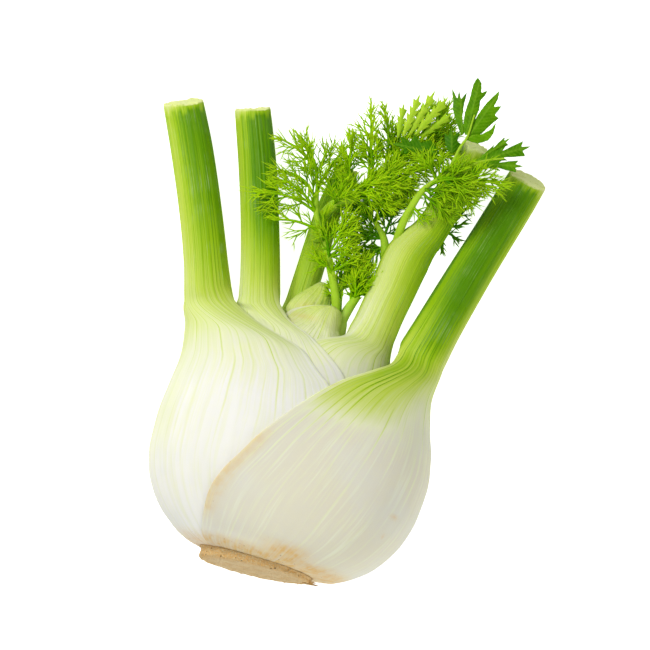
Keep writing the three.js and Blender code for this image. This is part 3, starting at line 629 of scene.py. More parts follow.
class Growth:
    """The geometry node trees that shape the pieces."""

    def __init__(self) -> None:
        """Builds the trees."""
        self.ribbed = self.build_ribbed()
        self.threads = self.build_threads()

    @staticmethod
    def read(wire: Wiring, name: str) -> Socket:
        """Returns a named float attribute, in a geometry tree."""
        return wire.add("GeometryNodeInputNamedAttribute", {"Name": name}, data_type="FLOAT").outputs[0]

    @staticmethod
    def finish(wire: Wiring, shape: Socket, material: Socket, end: Node) -> None:
        """Ends a tree in Realize Instances and Set Material.

        Args:
            wire: The tree's wiring.
            shape: What the tree has made.
            material: The material that it wears.
            end: The tree's output node.
        """
        real = wire.add("GeometryNodeRealizeInstances", {0: shape}).outputs[0]
        dressed = wire.add("GeometryNodeSetMaterial", {"Geometry": real, "Material": material})
        wire.feed(end.inputs[0], dressed.outputs[0])

    def build_ribbed(self) -> Tree:
        """Builds the tree that raises long ribs on a leaf, as high as its relief attribute says.

        Returns:
            The tree.
        """
        takes = [("Shape", SHAPE), ("Ribs", NUMBER), ("Seed", NUMBER), ("Material", PAINT)]
        tree, wire, start, end = new_tree("ribbed_leaf", "GeometryNodeTree", takes, [("Shape", SHAPE)])
        shape, ribs, seed, material = start.outputs[:4]
        wide = wire.times(self.read(wire, "across"), ribs)
        along = wire.times(self.read(wire, "along"), RIB_RUN)
        rib = wire.noise(wire.vector(wide, along, seed), 1.0, 0.0)
        raised = wire.times(wire.minus(rib, 0.5), self.read(wire, "relief"))
        normal = wire.add("GeometryNodeInputNormal").outputs[0]
        offset = wire.add("ShaderNodeVectorMath", {0: normal, "Scale": raised}, operation="SCALE").outputs[0]
        moved = wire.add("GeometryNodeSetPosition", {"Geometry": shape, "Offset": offset})
        self.finish(wire, moved.outputs[0], material, end)
        return tree

    def build_threads(self) -> Tree:
        """Builds the tree that turns strands of edges into tubes as wide as their half attribute says.

        Returns:
            The tree.
        """
        takes = [("Strands", SHAPE), ("Sides", COUNT), ("Material", PAINT)]
        tree, wire, start, end = new_tree("threads", "GeometryNodeTree", takes, [("Shape", SHAPE)])
        strands, sides, material = start.outputs[:3]
        lines = wire.add("GeometryNodeMeshToCurve", {0: strands}).outputs[0]
        ring = wire.add("GeometryNodeCurvePrimitiveCircle", {"Resolution": sides, "Radius": 1.0}).outputs[0]
        inputs = {"Curve": lines, "Profile Curve": ring, "Scale": self.read(wire, "half"), "Fill Caps": True}
        self.finish(wire, wire.add("GeometryNodeCurveToMesh", inputs).outputs[0], material, end)
        return tree


def grown(piece: Piece, tree: Tree, **inputs: Any) -> Piece:
    """Shapes a piece by a geometry node tree and keeps the result as a plain mesh.

    Args:
        piece: The piece, whose mesh the tree takes.
        tree: The tree.
        inputs: The tree's inputs by name.

    Returns:
        The same piece with its new mesh.
    """
    names = {item.name: item.identifier for item in tree.interface.items_tree if item.in_out == "INPUT"}
    modifier = piece.modifiers.new("growth", "NODES")
    modifier.node_group = tree
    for name, value in inputs.items():
        modifier[names[name]] = value
    graph = bpy.context.evaluated_depsgraph_get()
    shaped = piece.evaluated_get(graph)
    mesh = bpy.data.meshes.new_from_object(shaped, preserve_all_data_layers=True, depsgraph=graph)
    piece.modifiers.clear()
    piece.data = mesh
    mesh.shade_smooth()
    return piece


def in_scene(name: str, data: bpy.types.ID) -> Piece:
    """Puts a mesh, a light or a camera into the scene.

    Args:
        name: The object's name.
        data: What it holds.

    Returns:
        The object, at the origin.
    """
    thing = bpy.data.objects.new(name, data)
    bpy.context.scene.collection.objects.link(thing)
    return thing


def new_piece(
    name: str, points: Array, faces: Sequence, layers: dict[str, Array], edges: Sequence[tuple[int, int]] = ()
) -> Piece:
    """Makes a mesh object from points in the bulb's frame.

    Args:
        name: The piece's name.
        points: The points in millimetres.
        faces: The faces, as rows of point numbers.
        layers: A float for each point, by the attribute's name.
        edges: Loose edges, as pairs of point numbers.

    Returns:
        The object.
    """
    mesh = bpy.data.meshes.new(name)
    mesh.from_pydata(laid_down(points).reshape(-1, 3).tolist(), list(edges), list(faces))
    for label, values in layers.items():
        layer = mesh.attributes.new(label, "FLOAT", "POINT")
        layer.data.foreach_set("value", np.asarray(values, np.float32).ravel())
    if faces:
        work = bmesh.new()
        work.from_mesh(mesh)
        face_out(work, mesh)
    return in_scene(name, mesh)


def face_out(work: bmesh.types.BMesh, mesh: bpy.types.Mesh) -> None:
    """Turns all faces of a closed shape outwards, stores it in a mesh and shades that smooth.

    Args:
        work: The shape, which is freed.
        mesh: The mesh.
    """
    bmesh.ops.recalc_face_normals(work, faces=work.faces)
    work.to_mesh(mesh)
    work.free()
    mesh.shade_smooth()


def ring_faces(rows: int, size: int) -> list[tuple[int, ...]]:
    """Makes the faces between rows of closed rings.

    Args:
        rows: How many rings there are.
        size: How many points a ring has.

    Returns:
        The faces, as rows of point numbers.
    """
    r, c = np.meshgrid(np.arange(rows - 1), np.arange(size), indexing="ij")
    n = (c + 1) % size
    quads = np.stack([r * size + c, r * size + n, (r + 1) * size + n, (r + 1) * size + c], axis=-1)
    return [tuple(q) for q in quads.reshape(-1, 4).tolist()]


def end_faces(rows: int, size: int) -> list[tuple[int, ...]]:
    """Returns the two faces that close a tube of rings at its ends."""
    return [tuple(range(size)), tuple(range((rows - 1) * size, rows * size))[::-1]]


class Slot(Enum):
    """The material slots."""

    ROOT = "root"
    HEART = "heart"
    SHEATH = "sheath"
    FROND = "frond"
    # Painted shade: the slot of the fronds that wear the darker, shaded copy of the frond green.
    FROND_SHADED = "frond_dark"


def kept(piece: Piece, slot: Slot, *nodes: str) -> int:
    """Gives a finished piece its body and hides the plain model's nodes that it stands for.

    Args:
        piece: The piece.
        slot: Its slot, which is not used.
        nodes: The names of the plain model's nodes.

    Returns:
        Its number of triangles.
    """
    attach(piece, BODY)
    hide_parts(*nodes)
    triangles = sum(len(face.vertices) - 2 for face in piece.data.polygons)
    log.info("%s: %d triangles", piece.name, triangles)
    return triangles


# ---- the nest of leaves


@dataclass(frozen=True)
class Leaf:
    """One leaf of the nest: how its sheath wraps the leaves inside it, and the stalk that it ends in.

    side is the middle of the sheath as an angle about the axis: 0 right, 90 front, 180 left. reach is how far
    round from there its front edge lies at each height, and its back edge lies at that times back. outline is
    the half width that the leaf gives the bulb at its middle, or thick its own thickness there. stalk lists
    x, y, z and half width from the neck up, depth is its thickness as a share of its width, and cut is the
    slant of the knife's cut in degrees. green is how green it is at each height, veins how plain its veins
    are, flush adds green along its middle, band adds green along its front edge, and shade adds green round
    the stalk by the share of the way to its front edge, which is painted light and shade: paler where the
    light falls on the stalk and greener where it is shaded. foot and edge are the strengths of the brown
    stains there, and spots lists x, y, both half sizes and the strength of single ones.
    """

    name: str
    slot: Slot
    finish: LeafFinish
    side: float
    reach: Curve
    neck: float
    green: Curve
    back: float = 1.0
    thick: Optional[Curve] = None
    outline: Optional[Curve] = None
    depth: float = 1.0
    stalk: tuple[tuple[float, float, float, float], ...] = ()
    cut: float = 0.0
    veins: Curve = Curve((8, 0.1), (40, 0.22), (68, 0.6), (86, 1.0), (100, 0.8), (118, 0.2))
    flush: float = 0.0
    band: float = 0.0
    # Painted light and shade round the stalk, none unless a leaf gives it.
    shade: Curve = Curve((-1, 0), (1, 0))
    foot: float = 0.4
    edge: float = 0.0
    spots: tuple[tuple[float, float, float, float, float], ...] = ()

    @property
    def frontward(self) -> int:
        """Which way round the axis the front edge lies from the sheath's middle."""
        return -1 if self.side > 90 else 1

    def reach_of(self, turn: Array, y: Array) -> Array:
        """Returns how far round the edge lies on the side that turn is on."""
        return self.reach(y) * np.where(np.asarray(turn) < 0, self.back, 1.0)


BULGE = (2.0, 0.9)  # power of a sheath's bulge low down and at its neck
BULGE_TURNS = (30.0, 3.0)  # how far below the neck the one turns into the other


@dataclass
class Nest:
    """The leaves laid round the innermost one, whose half widths about the axis are given by height."""

    left: Curve
    right: Curve
    front: Curve
    back: Curve
    leaves: list[Leaf]

    @staticmethod
    def gap(y: Array) -> Array:
        """Returns the gap between one sheath and the next."""
        return FOOT_GAP + (GAP - FOOT_GAP) * smooth(BASE, 9, y)

    def heart(self, angle: Array, y: Array) -> Array:
        """Measures the innermost leaf.

        Args:
            angle: Angles about the axis, in degrees.
            y: Heights.

        Returns:
            The leaf's radius there.
        """
        c, s = np.cos(np.radians(angle)), np.sin(np.radians(angle))
        across = np.where(c > 0, self.right(y), self.left(y))
        deep = np.where(s > 0, self.front(y), self.back(y))
        return 1 / np.hypot(c / across, s / deep)

    def radius(self, count: int, angle: Array, y: Array) -> Array:
        """Measures the nest once some leaves have been laid round the innermost one.

        Args:
            count: How many leaves.
            angle: Angles about the axis, in degrees.
            y: Heights.

        Returns:
            The nest's radius there.
        """
        r = self.heart(angle, y)
        for i in range(count):
            r = r + self.gap(y) + self.thickness(i, angle, y)
        return r

    def thickness(self, i: int, angle: Array, y: Array) -> Array:
        """Measures a sheath, which thins from its middle to its edges.

        Args:
            i: The leaf's place in the nest.
            angle: Angles about the axis, in degrees.
            y: Heights.

        Returns:
            The sheath's thickness there.
        """
        leaf = self.leaves[i]
        turn = ((angle - leaf.side + 180) % 360 - 180) * leaf.frontward
        share = np.minimum(np.abs(turn) / leaf.reach_of(turn, y), 1)
        low, high = BULGE
        rise = smooth(*(leaf.neck - below for below in BULGE_TURNS), y) if leaf.stalk else 0
        bulge = np.maximum(np.cos(np.pi / 2 * share), 0) ** (low + (high - low) * rise)
        full = leaf.thick(y) if leaf.thick else leaf.outline(y) - self.radius(i, leaf.side, y) - self.gap(y)
        return EDGE + np.maximum(0, full - EDGE) * bulge


OUTER_END, INNER_END = 130.0, 142.0  # where a stalk's round face ends and its flatter inner face begins
CHANNEL = 0.05  # depth of the channel in the inner face, as a share of the stalk's half width
CLOSING = (12.0, 5.0)  # how far below and above the neck the sheath closes into the stalk
EDGE_TURNS = np.radians((40.0, 90.0, 140.0))  # the points round a sheath's free edge
CAP_RINGS = ((0.985, 0.6), (0.93, 0.85), (0.8, 0.65), (0.6, 0.8), (0.36, 0.65))  # of a cut end: share, rise
CAP_MIDDLE = 0.7  # rise of a cut end's middle
SLANTED = 22.0  # how far below its end a stalk's rows begin to lean with the cut
HIDDEN = 66.0  # below this height the inner leaves can't be seen
INNERMOST = 4  # how many leaves of the nest are hidden there


@dataclass
class LeafBuilder:
    """Builds the skin of one leaf of a nest."""

    nest: Nest
    index: int
    outer: int = 170  # columns of the outer face
    inner: int = 46
    fine: float = 0.8  # space between rows at the foot and neck
    step: float = 1.6
    hidden_step: float = 4.0
    stalk_step: float = 2.0
    ribs: Pair = (0.28, 0.66)  # relief of the sheath and of the stalk, in millimetres
    jag: float = 1.5  # roughness of the cut

    @property
    def leaf(self) -> Leaf:
        """The leaf that is built."""
        return self.nest.leaves[self.index]

    def rows(self) -> Array:
        """Spaces the rings, closer where the leaf turns sharply and wider where it is hidden.

        Returns:
            The heights of the rings.
        """
        leaf, hidden = self.leaf, self.index < INNERMOST
        step = self.hidden_step if hidden else self.step
        closes = leaf.neck - CLOSING[0]
        marks = [(BASE, 14, step if hidden else self.fine), (14, HIDDEN, step), (HIDDEN, closes, self.step)]
        if leaf.stalk:
            top, end = leaf.neck + CLOSING[1], leaf.stalk[-1][1]
            marks += [(closes, top, self.fine), (top, end, self.stalk_step)]
        else:
            end = leaf.neck
            marks.append((closes, end, self.fine))
        parts = [np.linspace(a, b, max(2, round((b - a) / s) + 1))[:-1] for a, b, s in marks]
        return np.concatenate([*parts, [end]])

    def stalk_skin(self, y: Array, turn: Array, slant: Array) -> Array:
        """Lays out the stalk's skin.

        Args:
            y: The rows' heights.
            turn: Angles about the stalk, from its outer middle to its front.
            slant: How much each row leans with the cut.

        Returns:
            The points.
        """
        leaf = self.leaf
        table = np.array(leaf.stalk)
        x, z, half = (Curve(*zip(table[:, 1], table[:, k])) for k in (0, 2, 3))
        at = np.clip(y, table[0, 1] + 1, table[-1, 1] - 1)
        along = unit(np.stack([x(at + 1) - x(at - 1), np.full_like(at, 2.0), z(at + 1) - z(at - 1)], axis=-1))
        side = math.radians(leaf.side)
        across = np.array((math.cos(side), 0, math.sin(side)))
        across = unit(across - (along @ across)[:, None] * along)
        front = np.cross(across, along) * leaf.frontward
        radius = half(y)[:, None] * (1 - CHANNEL * smooth(OUTER_END, 180, np.abs(turn)))[None, :]
        c, s = np.cos(np.radians(turn)), np.sin(np.radians(turn))
        centre = np.stack([x(y), y, z(y)], axis=-1)
        return (
            centre[:, None]
            + across[:, None] * (radius * c)[..., None]
            + front[:, None] * (radius * leaf.depth * s)[..., None]
            - along[:, None] * (slant[:, None] * radius * s)[..., None]
        )

    def sheath_skin(self, y: Array, share: Array, inside: bool) -> Array:
        """Lays out a sheath's outer or inner face.

        Args:
            y: The rows' heights.
            share: The columns' places, from -1 at the back edge to 1 at the front one.
            inside: Whether the inner face is meant.

        Returns:
            The points.
        """
        leaf, rows = self.leaf, y[:, None]
        angle = leaf.side + leaf.frontward * share * leaf.reach_of(share, rows)
        r = self.nest.radius(self.index, angle, rows) + self.nest.gap(rows)
        if not inside:
            r = r + self.nest.thickness(self.index, angle, rows)
        c, s = np.cos(np.radians(angle)), np.sin(np.radians(angle))
        return np.stack([r * c, np.broadcast_to(rows, r.shape), r * s], axis=-1)

    def face(self, y: Array, share: Array, inside: bool, slant: Array) -> Array:
        """Lays out one face of the leaf: the sheath, then the stalk, and between them the neck.

        Args:
            y: The rows' heights.
            share: The columns' places, from -1 at the back edge to 1 at the front one.
            inside: Whether the inner face is meant.
            slant: How much each row leans with the cut.

        Returns:
            The points, none of them inside the leaves that this one wraps.
        """
        leaf = self.leaf
        low = self.sheath_skin(np.minimum(y, leaf.neck), share, inside)
        low[..., 1] = y[:, None]
        if not leaf.stalk:
            return low
        closing = smooth(leaf.neck - CLOSING[0], leaf.neck + CLOSING[1], y)[:, None]
        sign = np.where(share < 0, -1.0, 1.0)
        turn = sign * (180 + (INNER_END - 180) * np.abs(share)) if inside else share * OUTER_END
        point = low + (self.stalk_skin(y, turn, slant) - low) * closing[..., None]
        angle = np.degrees(np.arctan2(point[..., 2], point[..., 0]))
        rows = np.minimum(y, leaf.neck)[:, None]
        least = self.nest.radius(self.index, angle, rows) + self.nest.gap(rows) + (0 if inside else EDGE)
        push = np.maximum(1, least / np.hypot(point[..., 0], point[..., 2]))
        push = 1 + (push - 1) * smooth(0, 0.04, closing) * (1 - smooth(0.7, 1, closing))
        point[..., 0] *= push
        point[..., 2] *= push
        return point

    def rings(self, y: Array) -> tuple[Array, Array, Array]:
        """Joins the two faces by rounded edges.

        Args:
            y: The rings' heights.

        Returns:
            The points, and for each column its place and how far inside it lies, from 0 to 1.
        """
        leaf = self.leaf
        end = y[-1]
        slant = math.tan(math.radians(leaf.cut)) * smooth(end - SLANTED, end, y) if leaf.stalk else 0 * y
        out_share, in_share = np.linspace(-1, 1, self.outer), np.linspace(1, -1, self.inner)
        outer, inner = self.face(y, out_share, False, slant), self.face(y, in_share, True, slant)
        open_edge = 1 - smooth(leaf.neck - CLOSING[0], leaf.neck + CLOSING[1], y) if leaf.stalk else 0 * y + 1
        edges = []
        for one, other in ((outer, inner), (inner, outer)):
            a, b, before = one[:, -1], other[:, 0], one[:, -2]
            half = (a - b) / 2
            away = unit(a - before) * np.linalg.norm(half, axis=-1, keepdims=True) * open_edge[:, None]
            middle = (a + b) / 2
            edges.append(np.stack([middle + half * np.cos(t) + away * np.sin(t) for t in EDGE_TURNS], axis=1))
        points = np.concatenate([outer, edges[0], inner, edges[1]], axis=1)
        n = len(EDGE_TURNS)
        share = np.concatenate([out_share, np.ones(n), in_share, -np.ones(n)])
        within = np.concatenate([np.zeros(self.outer), np.full(n, 0.5), np.ones(self.inner), np.full(n, 0.5)])
        return points, share, within

    def cut_end(self, ring: Array, rng: random.Random) -> Array:
        """Lays out the rough cut that closes a stalk.

        Args:
            ring: The stalk's last ring.
            rng: The leaf's random numbers.

        Returns:
            The points of the rings on the cut, and at last its centre.
        """
        centre = ring.mean(axis=0)
        normal = unit(np.cross(ring[len(ring) // 4] - centre, ring[0] - centre))
        normal = normal * (1 if normal[1] > 0 else -1)
        turn = np.linspace(0, ROUND, len(ring), endpoint=False)
        rough = sum(np.sin(k * turn + rng.uniform(0, 6.28)) / k**0.7 for k in range(2, 26)) * 0.3
        made = []
        for share, rise in CAP_RINGS:
            lift = rise + self.jag * rough * share * 0.6
            made.append(centre + (ring - centre) * share + normal * lift[:, None])
        return np.concatenate([*made, [centre + normal * CAP_MIDDLE]])

    def layers(self, points: Array, y: Array, share: Array, inside: Array) -> dict[str, Array]:
        """Works out the attributes that the ribs and the colours follow.

        Args:
            points: The points, ring by ring.
            y: The rings' heights.
            share: The columns' places, from -1 at the back edge to 1 at the front one.
            inside: How far inside each column lies.

        Returns:
            A value for each point, by the attribute's name.
        """
        leaf = self.leaf
        rows, share, inside = np.broadcast_arrays(y[:, None], share[None, :], inside[None, :])
        stalky = smooth(leaf.neck - 14, leaf.neck + 12, rows) if leaf.stalk else rows * 0
        low, high = self.ribs
        relief = (low + (high - low) * stalky) * np.where(inside > 0.2, stalky, 1) * MM
        edge = smooth(0.93, 1.0, share) * (1 - stalky)
        band = leaf.band * smooth(0.3, 0.7, share) * smooth(56, 74, rows) * (1 - stalky)
        flush = leaf.flush * np.exp(-((share / 0.24) ** 2)) * smooth(12, 50, rows) * (1 - stalky)
        if leaf.stalk:
            # How far below the cut the stalk has dried and paled.
            paled = 2.6 + 1.6 * np.sin(share * 23) * np.sin(share * 9 + 2)
            flush = flush - 0.3 * smooth(y[-1] - paled, y[-1] - paled * 0.3, rows)
        # The green takes in the stalk's painted light and shade across its width.
        return {
            "across": share,
            "along": rows / 100,
            "relief": relief * (1 - edge),
            "green": (leaf.green(rows) + band + flush + leaf.shade(share) * stalky) * (1 - 0.6 * edge),
            "veins": leaf.veins(rows) * (1 - inside),
            "stain": self.stain(points, share, rows),
            "cut": rows * 0,
        }

    def stain(self, points: Array, share: Array, y: Array) -> Array:
        """Browns the leaf round the root, along its front edge where that is old, and in spots.

        Args:
            points: The points.
            share: Their places, from -1 at the back edge to 1 at the front one.
            y: Their heights.

        Returns:
            How brown each point is.
        """
        leaf = self.leaf
        x, z = points[..., 0], points[..., 2]
        front = smooth(-10, 12, z)
        foot = leaf.foot * (1 - smooth(3.5, 7.5, y) + 0.8 * (1 - smooth(2.6, 4.4, y)))
        patch = leaf.foot * 1.5 * np.exp(-(((x - 10) / 9) ** 2)) * (1 - smooth(5, 12, y)) * front
        old = leaf.edge * smooth(0.91, 1.0, share) * smooth(9, 16, y) * (1 - smooth(40, 56, y))
        spots = sum(
            strength * np.exp(-(((x - across) / wide) ** 2) - ((y - up) / high) ** 2)
            for across, up, wide, high, strength in leaf.spots
        )
        return np.clip(np.maximum(foot, patch) + old + spots * front, 0, 1)

    def build(self, growth: Growth, shaders: Shaders) -> Piece:
        """Builds the leaf as one closed skin.

        Args:
            growth: The geometry node trees.
            shaders: The shared shader groups.

        Returns:
            The finished piece, without its body.
        """
        leaf, y = self.leaf, self.rows()
        points, share, inside = self.rings(y)
        rows, size = points.shape[:2]
        layers = {name: values.ravel() for name, values in self.layers(points, y, share, inside).items()}
        faces = ring_faces(rows, size) + end_faces(rows, size)
        flat = points.reshape(-1, 3)
        if leaf.stalk:
            rings, cap = len(CAP_RINGS), self.cut_end(points[-1], random.Random(41 + self.index))
            last, centre = (rows + rings - 1) * size, (rows + rings) * size
            faces = ring_faces(rows + rings, size) + [tuple(range(size))]
            faces += [(last + c, last + (c + 1) % size, centre) for c in range(size)]
            flat = np.concatenate([flat, cap])
            for name, values in layers.items():
                tail = np.tile(values[-size:], rings)
                tail = np.append(tail, tail[0])
                tail = {"cut": np.ones_like(tail), "relief": tail * 0}.get(name, tail)
                layers[name] = np.concatenate([values, tail])
        piece = new_piece(f"{leaf.name}_skin", flat, faces, layers)
        finish = leaf.finish
        return grown(piece, growth.ribbed, Ribs=finish.ribs, Seed=finish.seed, Material=finish.build(shaders))


# ---- the innermost leaf and the root plate


@dataclass
class Hood:
    """The folded leaf in the middle, which fills the nest and stands above it as a leaning hood."""

    nest: Nest
    finish: LeafFinish
    left: Curve = Curve((98, 16.4), (102, 17.2), (107, 15.2), (111, 11.8), (114, 9), (115.6, 7.4))
    right: Curve = Curve((98, 3.6), (101, -1.2), (107, -0.6), (109, -0.8), (113, -2.8), (115.6, -5))
    front: Curve = Curve((98, 6.2), (104, 5.2), (110, 3.6), (113.6, 2.4), (115.6, 0.5))
    back: Curve = Curve((98, 4), (104, 3.4), (110, 2.6), (113.6, 1.8), (115.6, 0.5))
    green: Curve = Curve((70, 0.1), (98, 0.3), (107, 0.38), (112, 0.46), (115.6, 0.36))
    steps: tuple[Point, ...] = ((BASE, 66, 4.0), (66, 96, 1.8), (96, 115.6, 0.55))  # rows: from, to, space
    top: float = 115.6
    columns: int = 120
    joins: Pair = (97.0, 102.0)  # where the nest's section turns into the hood's
    ribs: float = 0.6  # their relief, in millimetres

    def build(self, growth: Growth, shaders: Shaders) -> Piece:
        """Builds the leaf as one closed skin.

        Args:
            growth: The geometry node trees.
            shaders: The shared shader groups.

        Returns:
            The finished piece, without its body.
        """
        y = np.concatenate([*(np.arange(*step) for step in self.steps), [self.top]])
        rows = y[:, None]
        turn = np.linspace(0, ROUND, self.columns, endpoint=False)[None, :]
        low = self.nest.heart(np.degrees(turn), rows)
        low = np.stack([low * np.cos(turn), np.broadcast_to(rows, low.shape), low * np.sin(turn)], axis=-1)
        left, right = self.left(rows), self.right(rows)
        deep = np.where(np.sin(turn) > 0, self.front(rows), self.back(rows)) * np.sin(turn)
        x = (right - left) / 2 + (right + left) / 2 * np.cos(turn)
        high = np.stack([x, np.broadcast_to(rows, x.shape), deep], axis=-1)
        points = low + (high - low) * smooth(*self.joins, rows)[..., None]
        heights = np.broadcast_to(rows, x.shape)
        layers = {
            "across": np.broadcast_to(np.sin(turn + 0.6), x.shape),
            "along": heights / 100,
            "relief": np.full(x.shape, self.ribs * MM),
            "green": self.green(heights),
            "veins": smooth(92, 100, heights) * 0.9,
            "stain": 0.5 * np.exp(-(((points[..., 0] + 9) / 4) ** 2) - ((heights - 103) / 2.4) ** 2),
            "cut": heights * 0,
        }
        faces = ring_faces(len(y), self.columns) + end_faces(len(y), self.columns)
        piece = new_piece("heart_leaf_back_skin", points.reshape(-1, 3), faces, layers)
        finish = self.finish
        return grown(piece, growth.ribbed, Ribs=finish.ribs, Seed=finish.seed, Material=finish.build(shaders))


@dataclass
class RootPlate:
    """The thin disc of cut root, with a crusty rim and torn scraps."""

    finish: RootFinish
    radius: float = 21.9
    squash: float = 0.93
    face: float = -1.0
    skew: Pair = (0.06, 0.024)
    top: float = 1.95
    columns: int = 180
    crust: float = 0.55
    grain: float = 0.045  # roughness of the cut face
    scrap_count: int = 70
    rings: tuple[Pair, ...] = (
        (0, 0.12), (0, 0.3), (0, 0.48), (0, 0.64), (0, 0.78), (0, 0.88), (0.0, 0.95), (0.06, 0.985),
        (0.25, 1), (0.5, 1.0), (0.75, 1.0), (0.95, 1.02), (1.15, 1.06), (1.35, 1.03), (1.35, 0.5),
    )  # share of the height and of the radius

    def build(self, shaders: Shaders) -> Piece:
        """Builds the plate as one closed skin.

        Args:
            shaders: The shared shader groups.

        Returns:
            The finished piece, without its body.
        """
        rng = random.Random(17)
        turn = np.linspace(0, ROUND, self.columns, endpoint=False)
        phases = [(k, rng.uniform(0, 6.28), rng.uniform(0.6, 1.4) / k**0.5) for k in range(3, 46)]
        rows, rims = [], []
        for ring, (up, share) in enumerate(self.rings):
            wobble = sum(w * np.sin(k * turn + p + 0.45 * ring) for k, p, w in phases) * self.crust / 3.2
            r = share * (self.radius + wobble * share**4)
            x, z = r * np.cos(turn), r * np.sin(turn) * self.squash
            low = self.face + self.skew[0] * x + self.skew[1] * z
            rough = sum(w * np.sin(k * turn + p * (ring + 2)) for k, p, w in phases) * self.grain
            lift = rough * (1 - up) * (1.6 if share > 0.85 else 1)
            rows.append(np.stack([x, low + (self.top - low) * up + lift, z], axis=-1))
            rims.append(np.full(self.columns, float(smooth(0.8, 0.96, share))))
        faces = ring_faces(len(rows), self.columns) + end_faces(len(rows), self.columns)
        piece = new_piece("root_plate_skin", np.concatenate(rows), faces, {"rim": np.concatenate(rims)})
        piece.data.materials.append(self.finish.build(shaders))
        return piece

    def scraps(self, growth: Growth, material: bpy.types.Material) -> Piece:
        """Builds the torn fibres at the rim, the longest on the right.

        Args:
            growth: The geometry node trees.
            material: The plate's material.

        Returns:
            The finished piece, without its body.
        """
        rng = random.Random(23)
        strands = Strands()
        first = np.array([(18, 0.9, -3), (21.5, 1.2, -2.6), (25, 1.4, -2)], float)
        strands.add(flowing(first, 3), (0.9, 0.1), 0.5)
        strands.add(flowing(first * (1, 0.6, 1) + (1.5, -0.4, 2.4), 3), (0.6, 0.08), 0.2)
        for _ in range(self.scrap_count):
            turn = rng.uniform(0, ROUND)
            out = np.array((math.cos(turn), 0, math.sin(turn) * self.squash))
            foot = out * self.radius * 0.97
            foot[1] = self.face + self.skew[0] * foot[0] + self.skew[1] * foot[2] + rng.uniform(0, 1.6)
            way = out + np.array((rng.uniform(-1, 1), rng.uniform(-0.5, 0.4), rng.uniform(-1, 1))) * 0.7
            way = unit(way) * rng.uniform(0.5, 1.3)
            path = np.array([foot, foot + way * 0.6, foot + way + (0, rng.uniform(-0.2, 0.3), 0)])
            strands.add(path, (rng.uniform(0.16, 0.34), 0.05), rng.random())
        piece = strands.piece("root_scraps")
        rim = piece.data.attributes.new("rim", "FLOAT", "POINT")
        rim.data.foreach_set("value", np.ones(len(piece.data.vertices), np.float32))
        return grown(piece, growth.threads, Sides=5, Material=material)


# ---- fronds


def flowing(points: Array, steps: int) -> Array:
    """Lays a smooth path through points.

    Args:
        points: The points to pass.
        steps: How many steps to take from each point to the next.

    Returns:
        The points of the path.
    """
    p = np.asarray(points, float)
    padded = np.concatenate([[2 * p[0] - p[1]], p, [2 * p[-1] - p[-2]]])
    t = np.linspace(0, 1, steps, endpoint=False)[:, None]
    path = []
    for a, b, c, d in zip(padded, padded[1:], padded[2:], padded[3:]):
        path.append(b + 0.5 * t * (c - a + t * (2 * a - 5 * b + 4 * c - d + t * (3 * (b - c) + d - a))))
    return np.concatenate([*path, p[-1:]])


class Strands:
    """Many thin strands, kept as edges with a half width, a tone and a nearness to the tip at each point."""

    def __init__(self) -> None:
        """Starts with none."""
        self.points: list[Array] = []
        self.edges: list[tuple[int, int]] = []
        self.layers: dict[str, list[Array]] = {"half": [], "tone": [], "tip": []}
        self.count = 0

    def add(self, path: Array, radii: Pair, tone: float, tips: Pair = (0, 0), taper: float = 2.2) -> None:
        """Adds a strand.

        Args:
            path: Its points in millimetres.
            radii: Its radius at both ends, in millimetres.
            tone: How light it is, from 0 to 1.
            tips: Its nearness to the tip of the frond at both ends.
            taper: The power of the way along at which it thins.
        """
        n = len(path)
        share = np.linspace(0, 1, n)
        self.points.append(path)
        self.edges += [(self.count + k, self.count + k + 1) for k in range(n - 1)]
        self.layers["half"].append((radii[0] + (radii[1] - radii[0]) * share**taper) * MM)
        self.layers["tone"].append(np.full(n, tone))
        self.layers["tip"].append(tips[0] + (tips[1] - tips[0]) * share)
        self.count += n

    def piece(self, name: str) -> Piece:
        """Returns the strands as an object of loose edges."""
        layers = {label: np.concatenate(values) for label, values in self.layers.items()}
        return new_piece(name, np.concatenate(self.points), [], layers, self.edges)


@dataclass(frozen=True)
class Stem:
    """A round stem along points, from one half width to another."""

    half: Pair
    path: tuple[Point, ...]
    pale: float = 0.2  # how pale its foot is, from 0 to 1


@dataclass(frozen=True)
class Spray:
    """A feathery spray: the points at its foot, on the way and at its tip, the turn of its plane about its
    rib in degrees, its number of pinnules in the plain model and the length of the longest."""

    foot: Point
    way: Point
    tip: Point
    roll: float
    count: int
    size: float


@dataclass(frozen=True)
class Habit:
    """How the finest parts of a frond grow."""

    density: float = 1.6  # pinnules for each one in the plain model
    bare: float = 0.08  # share of the rib before the first pinnule
    lean: Pair = (54.0, 24.0)  # degrees between rib and pinnule, at the foot and tip
    spread: float = 40.0  # degrees that pinnules stand out of the spray's plane
    rib: Pair = (0.6, 0.3)
    radii: tuple[float, ...] = (0.34, 0.28, 0.24)  # of a pinnule, a thread and a side thread
    thin: float = 0.2  # share of its radius that a strand keeps at its tip
    spacing: tuple[float, ...] = (1.25, 2.1)  # millimetres between the threads on a pinnule and on a thread
    ratio: tuple[float, ...] = (0.95, 0.75)  # length of a thread to what bears it
    least: float = 2.2  # a thread shorter than this isn't grown
    wisps: int = 4  # long bare threads at the spray's tip
    curl: float = 0.16
    fork: Pair = (16.0, 42.0)  # degrees between a thread and what bears it


